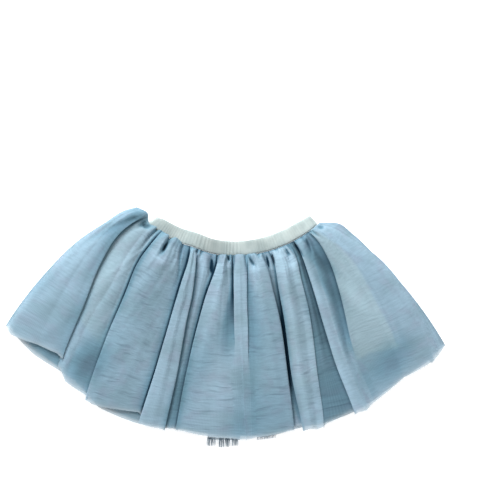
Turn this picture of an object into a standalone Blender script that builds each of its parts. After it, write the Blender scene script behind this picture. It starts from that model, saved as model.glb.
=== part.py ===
"""A child's gathered tulle skirt, laid flat on a surface and seen from above.

Metres, +Z up from the surface. X runs across the skirt, Y from the hem up to the waist. The skirt is a
fan: every panel starts at the waist seam and spreads from one centre above it. A place on a panel is
an angle from straight down, positive towards +X, and a depth from 0 at the waist seam to 1 at the hem.
From the surface up lie the outer back, the under back, the lining's back, the lining's front, the under
front and the outer front, whose pleats lap over each other. The waistband lies above them in Y.
"""

import math
from collections import namedtuple

import bmesh
import bpy
import numpy as np

MM = 0.001

# Layout of the fan
FAN_CENTRE = (7.3, 187.3)
BAND_CENTRE = (11.3, 269.0)
SEAM_RADIUS = 172.8
SEAM_GAP = 0.4
SHOULDER_ANGLE = -74.0
SHOULDER_SPREAD = 5.0
SHOULDER_LIFT = 11.0

# Waistband: a flat elastic in a knit casing, puckered on its front
BAND_HEIGHT = 19.5
BAND_ENDS = (-41.0, 40.0)
BAND_BACK_TOP = 3.5
BAND_FRONT_BOTTOM = 3.8
BAND_FRONT_TOP = 8.0
BAND_EDGE_ROUND = 1.2
BAND_END_SHRINK = 0.22
BAND_END_POWER = 8
PUCKERS = 42
PUCKER_RISE = 0.7
PUCKER_POINTS = 3

# Cloth
WALL = 1.0
OUTER_WALL = 1.2
BED = 7.4
EDGE_LEVEL = 2.2
EDGE_ROLL = 14.0
FLANK = 9.0
LEAST_FLANK = 1.2
SWING_SHARE = 0.1
SWING_LAP = 3.0
NOSE_STEPS = 50
STEEP_DEPTH = 0.08
CROWN = 2.2
CROWN_SPAN = 25.0
GATHER_RISE = 0.9
GATHER_PITCH = 10.0
GATHER_LEAST = 4.0
UNDER_LEVEL = 5.9
UNDER_SHARE = 0.25
UNDER_TUCK = 9.0
UNDER_FLANK = 6.0
UNDER_INSET = 11.0
CLIP_ANGLE = 1.5
UNDER_PITCH = 20.0

# Depths at which the tables give an angle, and how the pleats' height and lap change with depth
STATIONS = (0.0, 0.08, 0.2, 0.4, 0.65, 1.0)
RISE_BY_DEPTH = (0.10, 0.78, 1.0, 0.92, 0.78, 0.62)
LAP_BY_DEPTH = (0.0, 0.6, 1.0, 1.0, 0.9, 0.7)
GATHER_BY_DEPTH = (0.5, 1.0, 0.35, 0.0, 0.0, 0.0)
OUTER_DEPTHS = (0.0, 0.04, 0.1, 0.19, 0.32, 0.48, 0.65, 0.83, 1.0)
UNDER_DEPTHS = (0.0, 0.12, 0.35, 0.65, 0.88, 1.0)

# Each pleat's visible edge: its angles at the stations, the hem's radius, and the cloth's height above
# the bed on the left and on the right of it. The higher side laps over the lower one. A pleat may die
# out at a depth. A crest has one height and no lap.
Fold = namedtuple("Fold", "name angles hem_left hem_right left right lap ends")
FOLDS = (
    Fold("left_side", (-78.5, -78.0, -75.0, -71.0, -65.5, -58.5), 356, 356, 9, 9, 0, 9),
    Fold("roll_crest", (-76.0, -75.2, -72.0, -66.0, -59.0, -51.0), 335, 335, 12, 12, 0, 9),
    Fold("roll_edge", (-71.5, -70.5, -67.5, -60.5, -52.0, -44.5), 323, 335, 13, 1, 4, 9),
    Fold("valley_ridge", (-64.5, -62.0, -58.0, -51.5, -47.0, -40.5), 343, 343, 6, 6, 0, 9),
    Fold("third_edge", (-59.5, -56.5, -52.5, -45.5, -40.0, -34.5), 341, 346, 1, 13, 4, 9),
    Fold("fourth_left", (-39.0, -34.5, -29.5, -25.5, -23.0, -21.5), 327, 340, 3, 15, 5, 9),
    Fold("fourth_right", (-29.0, -24.5, -20.5, -18.0, -16.0, -15.0), 338, 335, 14, 1, 4, 9),
    Fold("fifth_left", (-9.5, -10.5, -12.5, -13.5, -13.5, -12.8), 333, 334, 0, 13, 5, 9),
    Fold("sixth_left", (2.5, 1.5, 0.5, 0.5, 2.0, 2.5), 338, 339, 4, 15, 4, 0.7),
    Fold("sixth_right", (13.0, 11.5, 9.5, 7.5, 5.5, 4.5), 339, 338, 13, 3, 4, 1.1),
    Fold("seventh_right", (25.0, 25.0, 23.0, 20.5, 17.5, 14.8), 337, 333, 13, 0, 4, 9),
    Fold("eighth_left", (32.0, 30.0, 26.0, 22.0, 19.0, 17.2), 333, 342, 0, 16, 4, 9),
    Fold("eighth_right", (46.0, 43.5, 38.5, 33.0, 27.5, 22.8), 345, 343, 14, 0, 4, 9),
    Fold("ninth_left", (50.5, 47.5, 43.0, 37.0, 32.0, 29.0), 343, 348, 0, 13, 4, 9),
    Fold("ninth_right", (58.0, 54.0, 48.0, 41.5, 36.0, 32.5), 351, 351, 10, 2, 2, 9),
    Fold("wing_left", (61.0, 58.5, 53.5, 46.5, 40.0, 35.5), 348, 347, 1, 12, 4, 0.75),
    Fold("wing_crest", (64.5, 63.5, 60.0, 55.0, 49.0, 42.5), 346, 346, 12, 12, 0, 9),
    Fold("right_side", (68.0, 68.8, 67.6, 65.0, 59.7, 52.0), 359.5, 359.5, 9, 9, 0, 9),
)

# The flat panels: level of the wall's middle, thickness, angles of both sides at the stations, and the
# hem as radii at angles
Panel = namedtuple("Panel", "name level wall left right hem columns colour")
BACK_SIDE_LEFT = (-76.5, -76.0, -73.6, -70.0, -64.8, -58.0)
BACK_SIDE_RIGHT = (69.0, 71.8, 69.5, 64.7, 60.0, 53.8)
INNER_SIDE_LEFT = (-67.0, -66.0, -66.0, -64.0, -60.0, -54.0)
INNER_SIDE_RIGHT = (64.0, 63.0, 62.0, 60.0, 55.0, 49.0)
LINING_SIDE_LEFT = (-66.0, -64.0, -62.0, -60.0, -56.0, -50.0)
LINING_SIDE_RIGHT = (63.0, 63.0, 62.5, 60.0, 54.0, 47.2)
PEEK_HEM = (
    (-56, 352), (-50, 347.5), (-46, 341.5), (-43, 337.5), (-39, 334), (-35, 338), (-31, 345),
    (-21, 341), (-15, 334), (-8, 331), (5, 335), (7.5, 339), (12, 338), (16, 330), (20, 340),
    (29, 345), (37.5, 345), (42, 346), (48, 353), (52, 356),
)
BACK_HEM = (
    (-58, 352), (-50, 340), (-40, 332), (-15, 331), (2, 334), (25, 339), (40, 342), (50, 354), (54, 359),
)
SHORT_HEM = ((-54, 340), (-40, 328), (0, 326), (30, 334), (49, 342))
LINING_HEM = ((-50, 268), (-40, 274), (0, 280), (30, 286), (40, 290), (47.2, 313))
TULLE_BLUE = (0.35, 0.50, 0.60)
LINING_MINT = (0.62, 0.74, 0.73)
BAND_MINT = (0.66, 0.73, 0.71)
PANELS = (
    Panel("tulle_outer_back", 0.6, 1.2, BACK_SIDE_LEFT, BACK_SIDE_RIGHT, BACK_HEM, 34, TULLE_BLUE),
    Panel("tulle_under_back", 2.0, WALL, INNER_SIDE_LEFT, INNER_SIDE_RIGHT, SHORT_HEM, 24, TULLE_BLUE),
    Panel("lining_back", 3.3, WALL, LINING_SIDE_LEFT, LINING_SIDE_RIGHT, LINING_HEM, 20, LINING_MINT),
    Panel("lining_front", 4.6, WALL, LINING_SIDE_LEFT, LINING_SIDE_RIGHT, LINING_HEM, 20, LINING_MINT),
)
PANEL_DEPTHS = (0.0, 0.08, 0.2, 0.4, 0.7, 1.0)

# Frayed threads at the middle of the hem, in clumps on one narrow strip
Clump = namedtuple("Clump", "middle width threads reach")
CLUMPS = (
    Clump(-4.4, 1.5, 5, 9.5),
    Clump(-2.05, 1.1, 4, 10.5),
    Clump(-0.5, 1.2, 4, 9.5),
    Clump(1.5, 0.9, 3, 8.0),
)
STRIP_ANGLES = (-5.3, 2.1)
STRIP_RADII = (334.8, 339.6)
STRIP_LEVELS = (0.4, 1.5)
STRIP_COLUMNS = 16
THREAD_RADIUS = 0.35
THREAD_LEVEL = 0.85
THREAD_ROOT = 1.2

Layer = namedtuple("Layer", "bed share laps inset pitch")
OUTER = Layer(BED, 1.0, True, 0.0, GATHER_PITCH)
UNDER = Layer(UNDER_LEVEL, UNDER_SHARE, False, UNDER_INSET, UNDER_PITCH)


def clear_scene():
    for obj in list(bpy.data.objects):
        bpy.data.objects.remove(obj, do_unlink=True)


def make_collection():
    collection = bpy.data.collections.new("tulle_skirt")
    bpy.context.scene.collection.children.link(collection)
    return collection


def make_material(name, colour, roughness=0.9):
    material = bpy.data.materials.new(name)
    material.use_nodes = True
    shader = material.node_tree.nodes["Principled BSDF"]
    shader.inputs["Base Color"].default_value = (*colour, 1.0)
    shader.inputs["Roughness"].default_value = roughness
    shader.inputs["Metallic"].default_value = 0.0
    return material


def ease(t):
    """Smooth step from 0 to 1."""
    t = min(max(t, 0.0), 1.0)
    return t * t * (3 - 2 * t)


def along(values, depth):
    """A smooth curve through the values at the stations, read at a depth."""
    values = np.asarray(values, float)
    stations = np.asarray(STATIONS)
    slopes = np.gradient(values, stations)
    k = int(np.clip(np.searchsorted(stations, depth, side="right") - 1, 0, len(stations) - 2))
    span = stations[k + 1] - stations[k]
    t = (depth - stations[k]) / span
    start = (1 + 2 * t) * (1 - t) ** 2 * values[k] + t * (1 - t) ** 2 * span * slopes[k]
    end = t * t * (3 - 2 * t) * values[k + 1] + t * t * (t - 1) * span * slopes[k + 1]
    return float(start + end)


def seam_radius(angle):
    """Distance from the fan's centre to the waist seam, an arc of the band's circle."""
    direction = (math.sin(math.radians(angle)), -math.cos(math.radians(angle)))
    offset = (FAN_CENTRE[0] - BAND_CENTRE[0], FAN_CENTRE[1] - BAND_CENTRE[1])
    towards = offset[0] * direction[0] + offset[1] * direction[1]
    square = offset[0] ** 2 + offset[1] ** 2
    return math.sqrt(towards**2 - square + SEAM_RADIUS**2) - towards + SEAM_GAP


def radius_at(angle, depth, hem, shoulder=0.0):
    """Radius at a depth on the way from the waist seam to the hem."""
    seam = seam_radius(angle)
    bump = math.exp(-(((angle - SHOULDER_ANGLE) / SHOULDER_SPREAD) ** 2))
    return seam + depth * (hem - seam) - shoulder * bump * (1 - depth) ** 6


def spot(angle, radius, level):
    """Row-frame point in metres from a fan angle in degrees and millimetres."""
    turn = math.radians(angle)
    x = FAN_CENTRE[0] + radius * math.sin(turn)
    y = FAN_CENTRE[1] - radius * math.cos(turn)
    return (x * MM, y * MM, level * MM)


def place_fold(fold, depth, layer):
    """A fold at one depth: angle, radius, heights on its left and right, lap, and its strength."""
    angle = along(fold.angles, depth)
    radius = radius_at(angle, depth, (fold.hem_left + fold.hem_right) / 2)
    if layer.inset and fold is FOLDS[0]:
        angle += math.degrees(layer.inset / radius)
    if layer.inset and fold is FOLDS[-1]:
        angle -= math.degrees(layer.inset / radius)
    strength = 1 - ease((depth - fold.ends + 0.3) / 0.3)
    middle = (fold.left + fold.right) / 2
    rise = along(RISE_BY_DEPTH, depth) * layer.share
    left = layer.bed + rise * (middle + (fold.left - middle) * strength)
    right = layer.bed + rise * (middle + (fold.right - middle) * strength)
    lap = fold.lap * along(LAP_BY_DEPTH, depth) * strength if layer.laps else 0.0
    return angle, radius, left, right, max(lap, 0.0), strength


def fold_curve(t, high_flank, low_flank, swing, steep):
    """Sideways place along a fold from its middle, t from 0 on the high side to 1 on the low side.

    A sine on a straight run stands upright in the middle at flank / pi, and laps back beyond that.
    """
    flank = high_flank if t < 0.5 else low_flank
    return flank * (2 * t - 1) + (steep * flank / math.pi + swing) * math.sin(2 * math.pi * t)


def fold_sides(room, lap, depth, strength, layer, steps):
    """Sideways places of a fold's points, with its nose at 0 and the high side negative."""
    high_room, low_room = room
    if not layer.laps:
        flank = min(UNDER_FLANK, 0.15 * high_room)
        tuck = min(UNDER_TUCK, 0.3 * high_room)
        return [flank * (2 * t - 1) - tuck for t in steps]
    lap = min(lap, 0.3 * high_room)
    low_flank = min(FLANK, max(0.4 * low_room, LEAST_FLANK))
    high_flank = min(FLANK, max(0.45 * high_room - lap, LEAST_FLANK))
    swing = lap / 2 + SWING_SHARE * (low_flank + high_flank) / 2 * min(1.0, lap / SWING_LAP)
    steep = min(1.0, depth / STEEP_DEPTH) * strength
    curve = [fold_curve(t / NOSE_STEPS, high_flank, low_flank, swing, steep) for t in range(NOSE_STEPS)]
    nose = max(curve[: NOSE_STEPS // 2 + 1]) if lap > 0 else 0.0
    return [fold_curve(t, high_flank, low_flank, swing, steep) - nose for t in steps]


def fold_points(fold, here, gaps, depth, layer, steps):
    """The cloth over one edge: high side, nose, back under itself, then the low side."""
    angle, radius, left, right, lap, strength = here
    high_left = fold.left >= fold.right
    room = gaps if high_left else gaps[::-1]
    sides = fold_sides(room, lap, depth, strength, layer, steps)
    points = []
    for t, side in zip(steps, sides):
        level = (left + (right - left) * ease(t)) if high_left else (right + (left - right) * ease(t))
        share = t if high_left else 1 - t
        turn = angle + math.degrees((side if high_left else -side) / radius)
        hem = fold.hem_left + (fold.hem_right - fold.hem_left) * share
        points.append((turn, hem, level))
    return points if high_left else points[::-1]


def side_points(fold, here, roll, layer, steps):
    """The rolled side of the tube, from just above the back panel up onto the front."""
    angle, radius, left = here[:3]
    sign = 1 if fold is FOLDS[0] else -1
    points = []
    for t in steps:
        turn = t * math.pi / 2
        level = EDGE_LEVEL + (left - EDGE_LEVEL) * math.sin(turn) if layer.laps else left
        side = roll * (1 - math.cos(turn))
        points.append((angle + sign * math.degrees(side / radius), fold.hem_left, level))
    return points if sign > 0 else points[::-1]


def gathers_between(first, second, layer):
    """How many points go between two folds, from their distance halfway down."""
    span = abs(along(second.angles, 0.5) - along(first.angles, 0.5))
    return max(1, round(math.radians(span) * seam_radius(0) * 1.9 / layer.pitch))


def between_points(start, end, count, radius, depth, layer):
    """The cloth between two folds: a soft crown, with small gathers below the waist."""
    span = math.radians(end[0] - start[0]) * radius
    crown = CROWN * along(RISE_BY_DEPTH, depth) * min(1.0, span / CROWN_SPAN) * layer.laps
    gather = GATHER_RISE * along(GATHER_BY_DEPTH, depth) * layer.laps
    gather *= min(1.0, span / count / GATHER_LEAST)
    points = []
    for i in range(1, count + 1):
        t = i / (count + 1)
        angle = start[0] + (end[0] - start[0]) * t
        hem = start[1] + (end[1] - start[1]) * t
        level = start[2] + (end[2] - start[2]) * ease(t) + crown * 4 * t * (1 - t)
        level += gather * (1 - math.cos(math.pi * i))
        points.append((angle, hem, level))
    return points


def cloth_section(depth, layer, fold_steps, side_steps):
    """One row of a pleated layer across the fan, as points of the row frame."""
    here = [place_fold(fold, depth, layer) for fold in FOLDS]
    if layer.inset:
        first, last = here[0][0] + CLIP_ANGLE, here[-1][0] - CLIP_ANGLE
        inner = [(min(max(one[0], first), last), *one[1:]) for one in here[1:-1]]
        here = [here[0], *inner, here[-1]]
    gaps = []
    for one, two in zip(here, here[1:]):
        gaps.append(math.radians(two[0] - one[0]) * (one[1] + two[1]) / 2)
    rolls = {0: min(EDGE_ROLL, 0.5 * gaps[0]), len(FOLDS) - 1: min(EDGE_ROLL, 0.5 * gaps[-1])}
    strips = []
    for i, fold in enumerate(FOLDS):
        if i in rolls:
            strips.append(side_points(fold, here[i], rolls[i], layer, side_steps))
        elif fold.lap:
            room = (gaps[i - 1], gaps[i])
            strips.append(fold_points(fold, here[i], room, depth, layer, fold_steps))
        else:
            strips.append([(here[i][0], fold.hem_left, here[i][2])])
    row = []
    for i, strip in enumerate(strips):
        row += strip
        if i + 1 < len(strips):
            count = gathers_between(FOLDS[i], FOLDS[i + 1], layer)
            row += between_points(strip[-1], strips[i + 1][0], count, here[i][1], depth, layer)
    return row


def grid_sheet(name, rows, wall, colour, collection):
    """A sheet through rows of points, thickened to a wall. Rows run from the hem up to the waist."""
    down, across = len(rows) - 1, len(rows[0]) - 1
    mesh = bpy.data.meshes.new(name)
    sheet = bmesh.new()
    bmesh.ops.create_grid(sheet, x_segments=across, y_segments=down, size=0.5)
    for vertex in sheet.verts:
        column = round((vertex.co.x + 0.5) * across)
        row = round((vertex.co.y + 0.5) * down)
        vertex.co = rows[row][column]
    sheet.to_mesh(mesh)
    sheet.free()
    mesh.shade_smooth()
    obj = bpy.data.objects.new(name, mesh)
    obj.data.materials.append(make_material(name, colour))
    solidify = obj.modifiers.new("wall", "SOLIDIFY")
    solidify.thickness = wall * MM
    solidify.offset = 0.0
    collection.objects.link(obj)
    return obj


def make_outer_front(collection):
    fold_steps = (0.0, 0.16, 0.3, 0.5, 0.7, 0.84, 1.0)
    side_steps = (0.0, 0.35, 0.7, 1.0)
    rows = []
    for depth in reversed(OUTER_DEPTHS):
        section = cloth_section(depth, OUTER, fold_steps, side_steps)
        rows.append([spot(a, radius_at(a, depth, hem, SHOULDER_LIFT), z) for a, hem, z in section])
    return grid_sheet("tulle_outer_front", rows, OUTER_WALL, TULLE_BLUE, collection)


def hem_radius(table, angle):
    angles, radii = zip(*table)
    return float(np.interp(angle, angles, radii))


def make_under_front(collection):
    rows = []
    for depth in reversed(UNDER_DEPTHS):
        section = cloth_section(depth, UNDER, (0.0, 0.5, 1.0), (1.0,))
        hem_section = cloth_section(1.0, UNDER, (0.0, 0.5, 1.0), (1.0,))
        row = []
        for (angle, _, level), (hem_angle, _, _) in zip(section, hem_section):
            hem = hem_radius(PEEK_HEM, hem_angle)
            row.append(spot(angle, radius_at(angle, depth, hem), level))
        rows.append(row)
    return grid_sheet("tulle_under_front", rows, WALL, TULLE_BLUE, collection)


def make_panel(panel, collection):
    """A flat layer between two sides, from the waist seam to its own hem."""
    rows = []
    for depth in reversed(PANEL_DEPTHS):
        left, right = along(panel.left, depth), along(panel.right, depth)
        row = []
        for i in range(panel.columns + 1):
            share = i / panel.columns
            angle = left + (right - left) * share
            hem_angle = panel.left[-1] + (panel.right[-1] - panel.left[-1]) * share
            hem = hem_radius(panel.hem, hem_angle)
            row.append(spot(angle, radius_at(angle, depth, hem), panel.level))
        rows.append(row)
    return grid_sheet(panel.name, rows, panel.wall, panel.colour, collection)


def band_spot(angle, height, level):
    """Point on the waistband, height measured up from the waist seam."""
    turn = math.radians(angle)
    radius = SEAM_RADIUS - height
    x = BAND_CENTRE[0] + radius * math.sin(turn)
    y = BAND_CENTRE[1] - radius * math.cos(turn)
    return (x * MM, y * MM, level * MM)


def loft(name, rings, colour, collection):
    """A closed body through rings of equal size, capped at both ends."""
    mesh = bpy.data.meshes.new(name)
    body = bmesh.new()
    loops = [[body.verts.new(point) for point in ring] for ring in rings]
    size = len(rings[0])
    for one, two in zip(loops, loops[1:]):
        for i in range(size):
            j = (i + 1) % size
            body.faces.new((one[i], one[j], two[j], two[i]))
    body.faces.new(loops[0][::-1])
    body.faces.new(loops[-1])
    bmesh.ops.recalc_face_normals(body, faces=body.faces)
    body.to_mesh(mesh)
    body.free()
    mesh.shade_smooth()
    mesh.set_sharp_from_angle(angle=math.radians(40))
    obj = bpy.data.objects.new(name, mesh)
    obj.data.materials.append(make_material(name, colour))
    collection.objects.link(obj)
    return obj


def band_ring(angle, bottom, top, pucker):
    """Section of the waistband across its height: flat below, rounded and puckered above."""
    shrink = BAND_END_SHRINK * abs(angle / BAND_ENDS[0]) ** BAND_END_POWER
    low, high, step = 0.0, BAND_HEIGHT * (1 - shrink), BAND_EDGE_ROUND
    return [
        band_spot(angle, low, bottom),
        band_spot(angle, high, bottom),
        band_spot(angle, high, top - step),
        band_spot(angle, high - step, top + 0.4 * pucker),
        band_spot(angle, (low + high) / 2, top + pucker),
        band_spot(angle, low + step, top + 0.6 * pucker),
        band_spot(angle, low, top - step),
    ]


def make_waistband(collection):
    left, right = BAND_ENDS
    rings = []
    count = PUCKERS * PUCKER_POINTS
    for i in range(count + 1):
        wave = math.cos(2 * math.pi * i / PUCKER_POINTS)
        unevenness = 0.75 + 0.25 * math.sin(i * 0.7)
        angle = left + (right - left) * i / count
        rings.append(band_ring(angle, BAND_FRONT_BOTTOM, BAND_FRONT_TOP, PUCKER_RISE * wave * unevenness))
    loft("waistband_front", rings, BAND_MINT, collection)
    plain = 24
    rings = [
        band_ring(left + (right - left) * i / plain, 0.0, BAND_BACK_TOP, 0.0) for i in range(plain + 1)
    ]
    loft("waistband_back", rings, BAND_MINT, collection)


def thread_body(angle, reach, wander):
    """One thread of the frayed hem, a thin bent prism rooted in the strip."""
    root = STRIP_RADII[1] - THREAD_ROOT
    stops = (0.0, 0.35, 0.7, 1.0)
    rings = []
    for t in stops:
        radius = root + (reach + THREAD_ROOT) * t
        turn = angle + wander * math.sin(2.2 * t) * t
        spread = math.degrees(THREAD_RADIUS / radius) * (1 - 0.35 * t)
        rise = THREAD_RADIUS * (1 - 0.35 * t)
        ring = [
            spot(turn - spread, radius, THREAD_LEVEL),
            spot(turn, radius, THREAD_LEVEL - rise),
            spot(turn + spread, radius, THREAD_LEVEL),
            spot(turn, radius, THREAD_LEVEL + rise),
        ]
        rings.append(ring)
    return rings


def make_frayed_hem(collection):
    """A narrow strip just outside the back's hem, with the threads fused into it."""
    inner, outer = STRIP_RADII
    bottom, top = STRIP_LEVELS
    rings = []
    for i in range(STRIP_COLUMNS + 1):
        angle = STRIP_ANGLES[0] + (STRIP_ANGLES[1] - STRIP_ANGLES[0]) * i / STRIP_COLUMNS
        corners = ((inner, bottom), (outer, bottom), (outer, top), (inner, top))
        rings.append([spot(angle, radius, level) for radius, level in corners])
    strip = loft("frayed_hem", rings, TULLE_BLUE, collection)
    cutters = bpy.data.collections.new("threads")
    bpy.context.scene.collection.children.link(cutters)
    number = 0
    for clump in CLUMPS:
        for i in range(clump.threads):
            share = i / (clump.threads - 1) - 0.5
            angle = clump.middle + clump.width * share
            reach = clump.reach * (0.82 + 0.18 * math.sin(2.3 * number + 1.0))
            wander = 0.18 * math.sin(1.7 * number)
            thread = loft(f"thread_{number:02d}", thread_body(angle, reach, wander), TULLE_BLUE, cutters)
            thread.hide_render = True
            thread.display_type = "WIRE"
            join = strip.modifiers.new(f"join_{number:02d}", "BOOLEAN")
            join.operation = "UNION"
            join.object = thread
            number += 1
    return strip


def main():
    clear_scene()
    collection = make_collection()
    for panel in PANELS:
        make_panel(panel, collection)
    make_under_front(collection)
    make_outer_front(collection)
    make_waistband(collection)
    make_frayed_hem(collection)


main()
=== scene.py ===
"""Looks of a child's gathered tulle skirt that lies flat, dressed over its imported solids.

Every panel is a fan: a place on it is an angle from straight down, positive towards +X, and a depth
from 0 at the waist seam to 1 at the hem. Sizes are in millimetres and degrees, meshes in metres.
"""

import logging
import math
from dataclasses import dataclass, field, replace
from enum import Enum

import bpy
import numpy as np
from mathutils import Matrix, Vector, noise


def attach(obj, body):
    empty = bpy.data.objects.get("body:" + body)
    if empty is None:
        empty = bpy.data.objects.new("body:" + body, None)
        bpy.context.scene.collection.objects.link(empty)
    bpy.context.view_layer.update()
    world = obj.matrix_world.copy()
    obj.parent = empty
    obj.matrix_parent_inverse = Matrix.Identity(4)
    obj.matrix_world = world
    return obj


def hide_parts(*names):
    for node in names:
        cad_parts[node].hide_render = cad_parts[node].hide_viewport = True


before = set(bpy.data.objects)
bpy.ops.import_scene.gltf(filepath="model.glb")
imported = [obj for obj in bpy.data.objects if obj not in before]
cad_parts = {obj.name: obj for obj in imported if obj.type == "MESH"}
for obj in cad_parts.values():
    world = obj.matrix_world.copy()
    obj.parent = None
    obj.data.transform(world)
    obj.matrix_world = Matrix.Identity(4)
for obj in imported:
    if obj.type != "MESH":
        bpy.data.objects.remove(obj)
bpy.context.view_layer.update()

logging.basicConfig(level=logging.INFO, format="%(message)s")
LOG = logging.getLogger("skirt")

MM = 0.001
BODY = "root"
Point = tuple[float, float, float]
Colour = tuple[float, float, float]
Row = tuple[float, ...]
Table = tuple[tuple[float, float], ...]


class Held(Enum):
    """How a sheet of cloth is held."""

    GATHERED = "gathered"
    LAID = "laid"


class Slot(Enum):
    """The record's material slots."""

    WAISTBAND = "waistband"
    OUTER = "outer_tulle"
    UNDER = "under_tulle"
    LINING = "lining"


# Shader graphs


class Signal:
    """A number in a shader graph, on which arithmetic adds Math nodes."""

    def __init__(self, graph: "Graph", socket: bpy.types.NodeSocket) -> None:
        """Wraps a socket.

        Args:
            graph: the graph that the socket is in.
            socket: an output socket that carries a number.
        """
        self.graph = graph
        self.socket = socket

    def __add__(self, other: "Signal | float") -> "Signal":
        """Sum."""
        return self.graph.math("ADD", self, other)

    def __radd__(self, other: float) -> "Signal":
        """Sum, with the number on the left."""
        return self.graph.math("ADD", other, self)

    def __sub__(self, other: "Signal | float") -> "Signal":
        """Difference."""
        return self.graph.math("SUBTRACT", self, other)

    def __rsub__(self, other: float) -> "Signal":
        """Difference, with the number on the left."""
        return self.graph.math("SUBTRACT", other, self)

    def __mul__(self, other: "Signal | float") -> "Signal":
        """Product."""
        return self.graph.math("MULTIPLY", self, other)

    def __rmul__(self, other: float) -> "Signal":
        """Product, with the number on the left."""
        return self.graph.math("MULTIPLY", other, self)


class Graph:
    """A material's node tree, built from expressions."""

    def __init__(self, name: str) -> None:
        """Starts a material with an empty tree.

        Args:
            name: the material's name.
        """
        self.material = bpy.data.materials.new(name)
        self.material.use_nodes = True
        self.tree = self.material.node_tree
        self.tree.nodes.clear()

    def node(self, kind: str, settings: dict | None = None, inputs: dict | None = None) -> bpy.types.Node:
        """Adds any node.

        Args:
            kind: the node's type.
            settings: properties to set first.
            inputs: values or links by socket name or number.

        Returns:
            The new node.
        """
        made = self.tree.nodes.new(kind)
        for key, value in (settings or {}).items():
            setattr(made, key, value)
        for key, value in (inputs or {}).items():
            if isinstance(value, Signal):
                self.tree.links.new(value.socket, made.inputs[key])
            elif isinstance(value, bpy.types.NodeSocket):
                self.tree.links.new(value, made.inputs[key])
            else:
                made.inputs[key].default_value = value
        return made

    def number(self, kind: str, settings: dict, inputs: dict) -> Signal:
        """The first output of a new node, as a number."""
        return Signal(self, self.node(kind, settings, inputs).outputs[0])

    def math(self, operation: str, *values: "Signal | float") -> Signal:
        """One Math node on numbers."""
        return self.number("ShaderNodeMath", {"operation": operation}, dict(enumerate(values)))

    def vector(self, operation: str, *vectors: object, **named: object) -> bpy.types.NodeSocket:
        """One Vector Math node on vectors or links, with its further sockets by name."""
        inputs = {**dict(enumerate(vectors)), **named}
        return self.node("ShaderNodeVectorMath", {"operation": operation}, inputs).outputs[0]

    def attribute(self, name: str) -> bpy.types.Node:
        """A value stored at the mesh's points."""
        return self.node("ShaderNodeAttribute", {"attribute_name": name})

    def level(self, name: str) -> Signal:
        """A number stored at the mesh's points."""
        return Signal(self, self.attribute(name).outputs["Fac"])

    def noise(self, place: bpy.types.NodeSocket, cell: Point, detail: float = 2.0) -> Signal:
        """Soft noise whose cells have the given size in millimetres along each axis.

        Args:
            place: the coordinate, in metres.
            cell: size of one cell.
            detail: octaves of finer noise.

        Returns:
            The noise, from 0 to 1 with its middle at 0.5.
        """
        stretch = tuple(1.0 / (size * MM) for size in cell)
        scaled = self.vector("MULTIPLY", place, stretch)
        return self.number("ShaderNodeTexNoise", {}, {"Vector": scaled, "Scale": 1.0, "Detail": detail})

    def step(self, value: Signal, low: float, high: float) -> Signal:
        """Smooth step from 0 at low to 1 at high."""
        inputs = {"Value": value, "From Min": low, "From Max": high}
        return self.number("ShaderNodeMapRange", {"interpolation_type": "SMOOTHSTEP"}, inputs)

    def mix(
        self,
        factor: Signal | float,
        first: bpy.types.NodeSocket | Colour,
        second: bpy.types.NodeSocket | Colour,
    ) -> bpy.types.NodeSocket:
        """Mix of two colours.

        Args:
            factor: 0 gives the first colour and 1 the second.
            first: a colour or a link.
            second: a colour or a link.

        Returns:
            The mixed colour's socket.
        """
        made = self.node("ShaderNodeMix", {"data_type": "RGBA"}, {0: factor})
        for key, value in ((6, first), (7, second)):
            if isinstance(value, tuple):
                made.inputs[key].default_value = (*value, 1.0)
            else:
                self.tree.links.new(value, made.inputs[key])
        return made.outputs[2]

    def threads(self, place: bpy.types.NodeSocket, pitch: float) -> Signal:
        """A hexagonal net: 0 in the middle of each hole and 1 on its threads.

        Args:
            place: the coordinate, in metres.
            pitch: distance between holes in millimetres.

        Returns:
            The net's pattern.
        """
        turn = 4 * math.pi / (math.sqrt(3) * pitch * MM)
        waves = None
        for angle in (0.0, 60.0, 120.0):
            direction = (turn * math.cos(math.radians(angle)), turn * math.sin(math.radians(angle)), 0.0)
            made = self.node("ShaderNodeVectorMath", {"operation": "DOT_PRODUCT"}, {0: place, 1: direction})
            wave = self.math("COSINE", Signal(self, made.outputs["Value"]))
            waves = wave if waves is None else waves + wave
        return 1.0 - self.step(waves, -0.6, 1.9)

    def finish(self, values: dict, height: Signal | None = None, depth: float = 0.0) -> bpy.types.Material:
        """Closes the graph with a Principled shader.

        Args:
            values: the shader's inputs by name.
            height: relief from 0 to 1, or none.
            depth: that relief's depth in millimetres.

        Returns:
            The finished material.
        """
        if height is not None:
            bump = self.node("ShaderNodeBump", {}, {"Height": height, "Distance": depth * MM})
            values = {**values, "Normal": bump.outputs[0]}
        shader = self.node("ShaderNodeBsdfPrincipled", {}, values)
        self.node("ShaderNodeOutputMaterial", {}, {"Surface": shader.outputs[0]})
        return self.material


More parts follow.
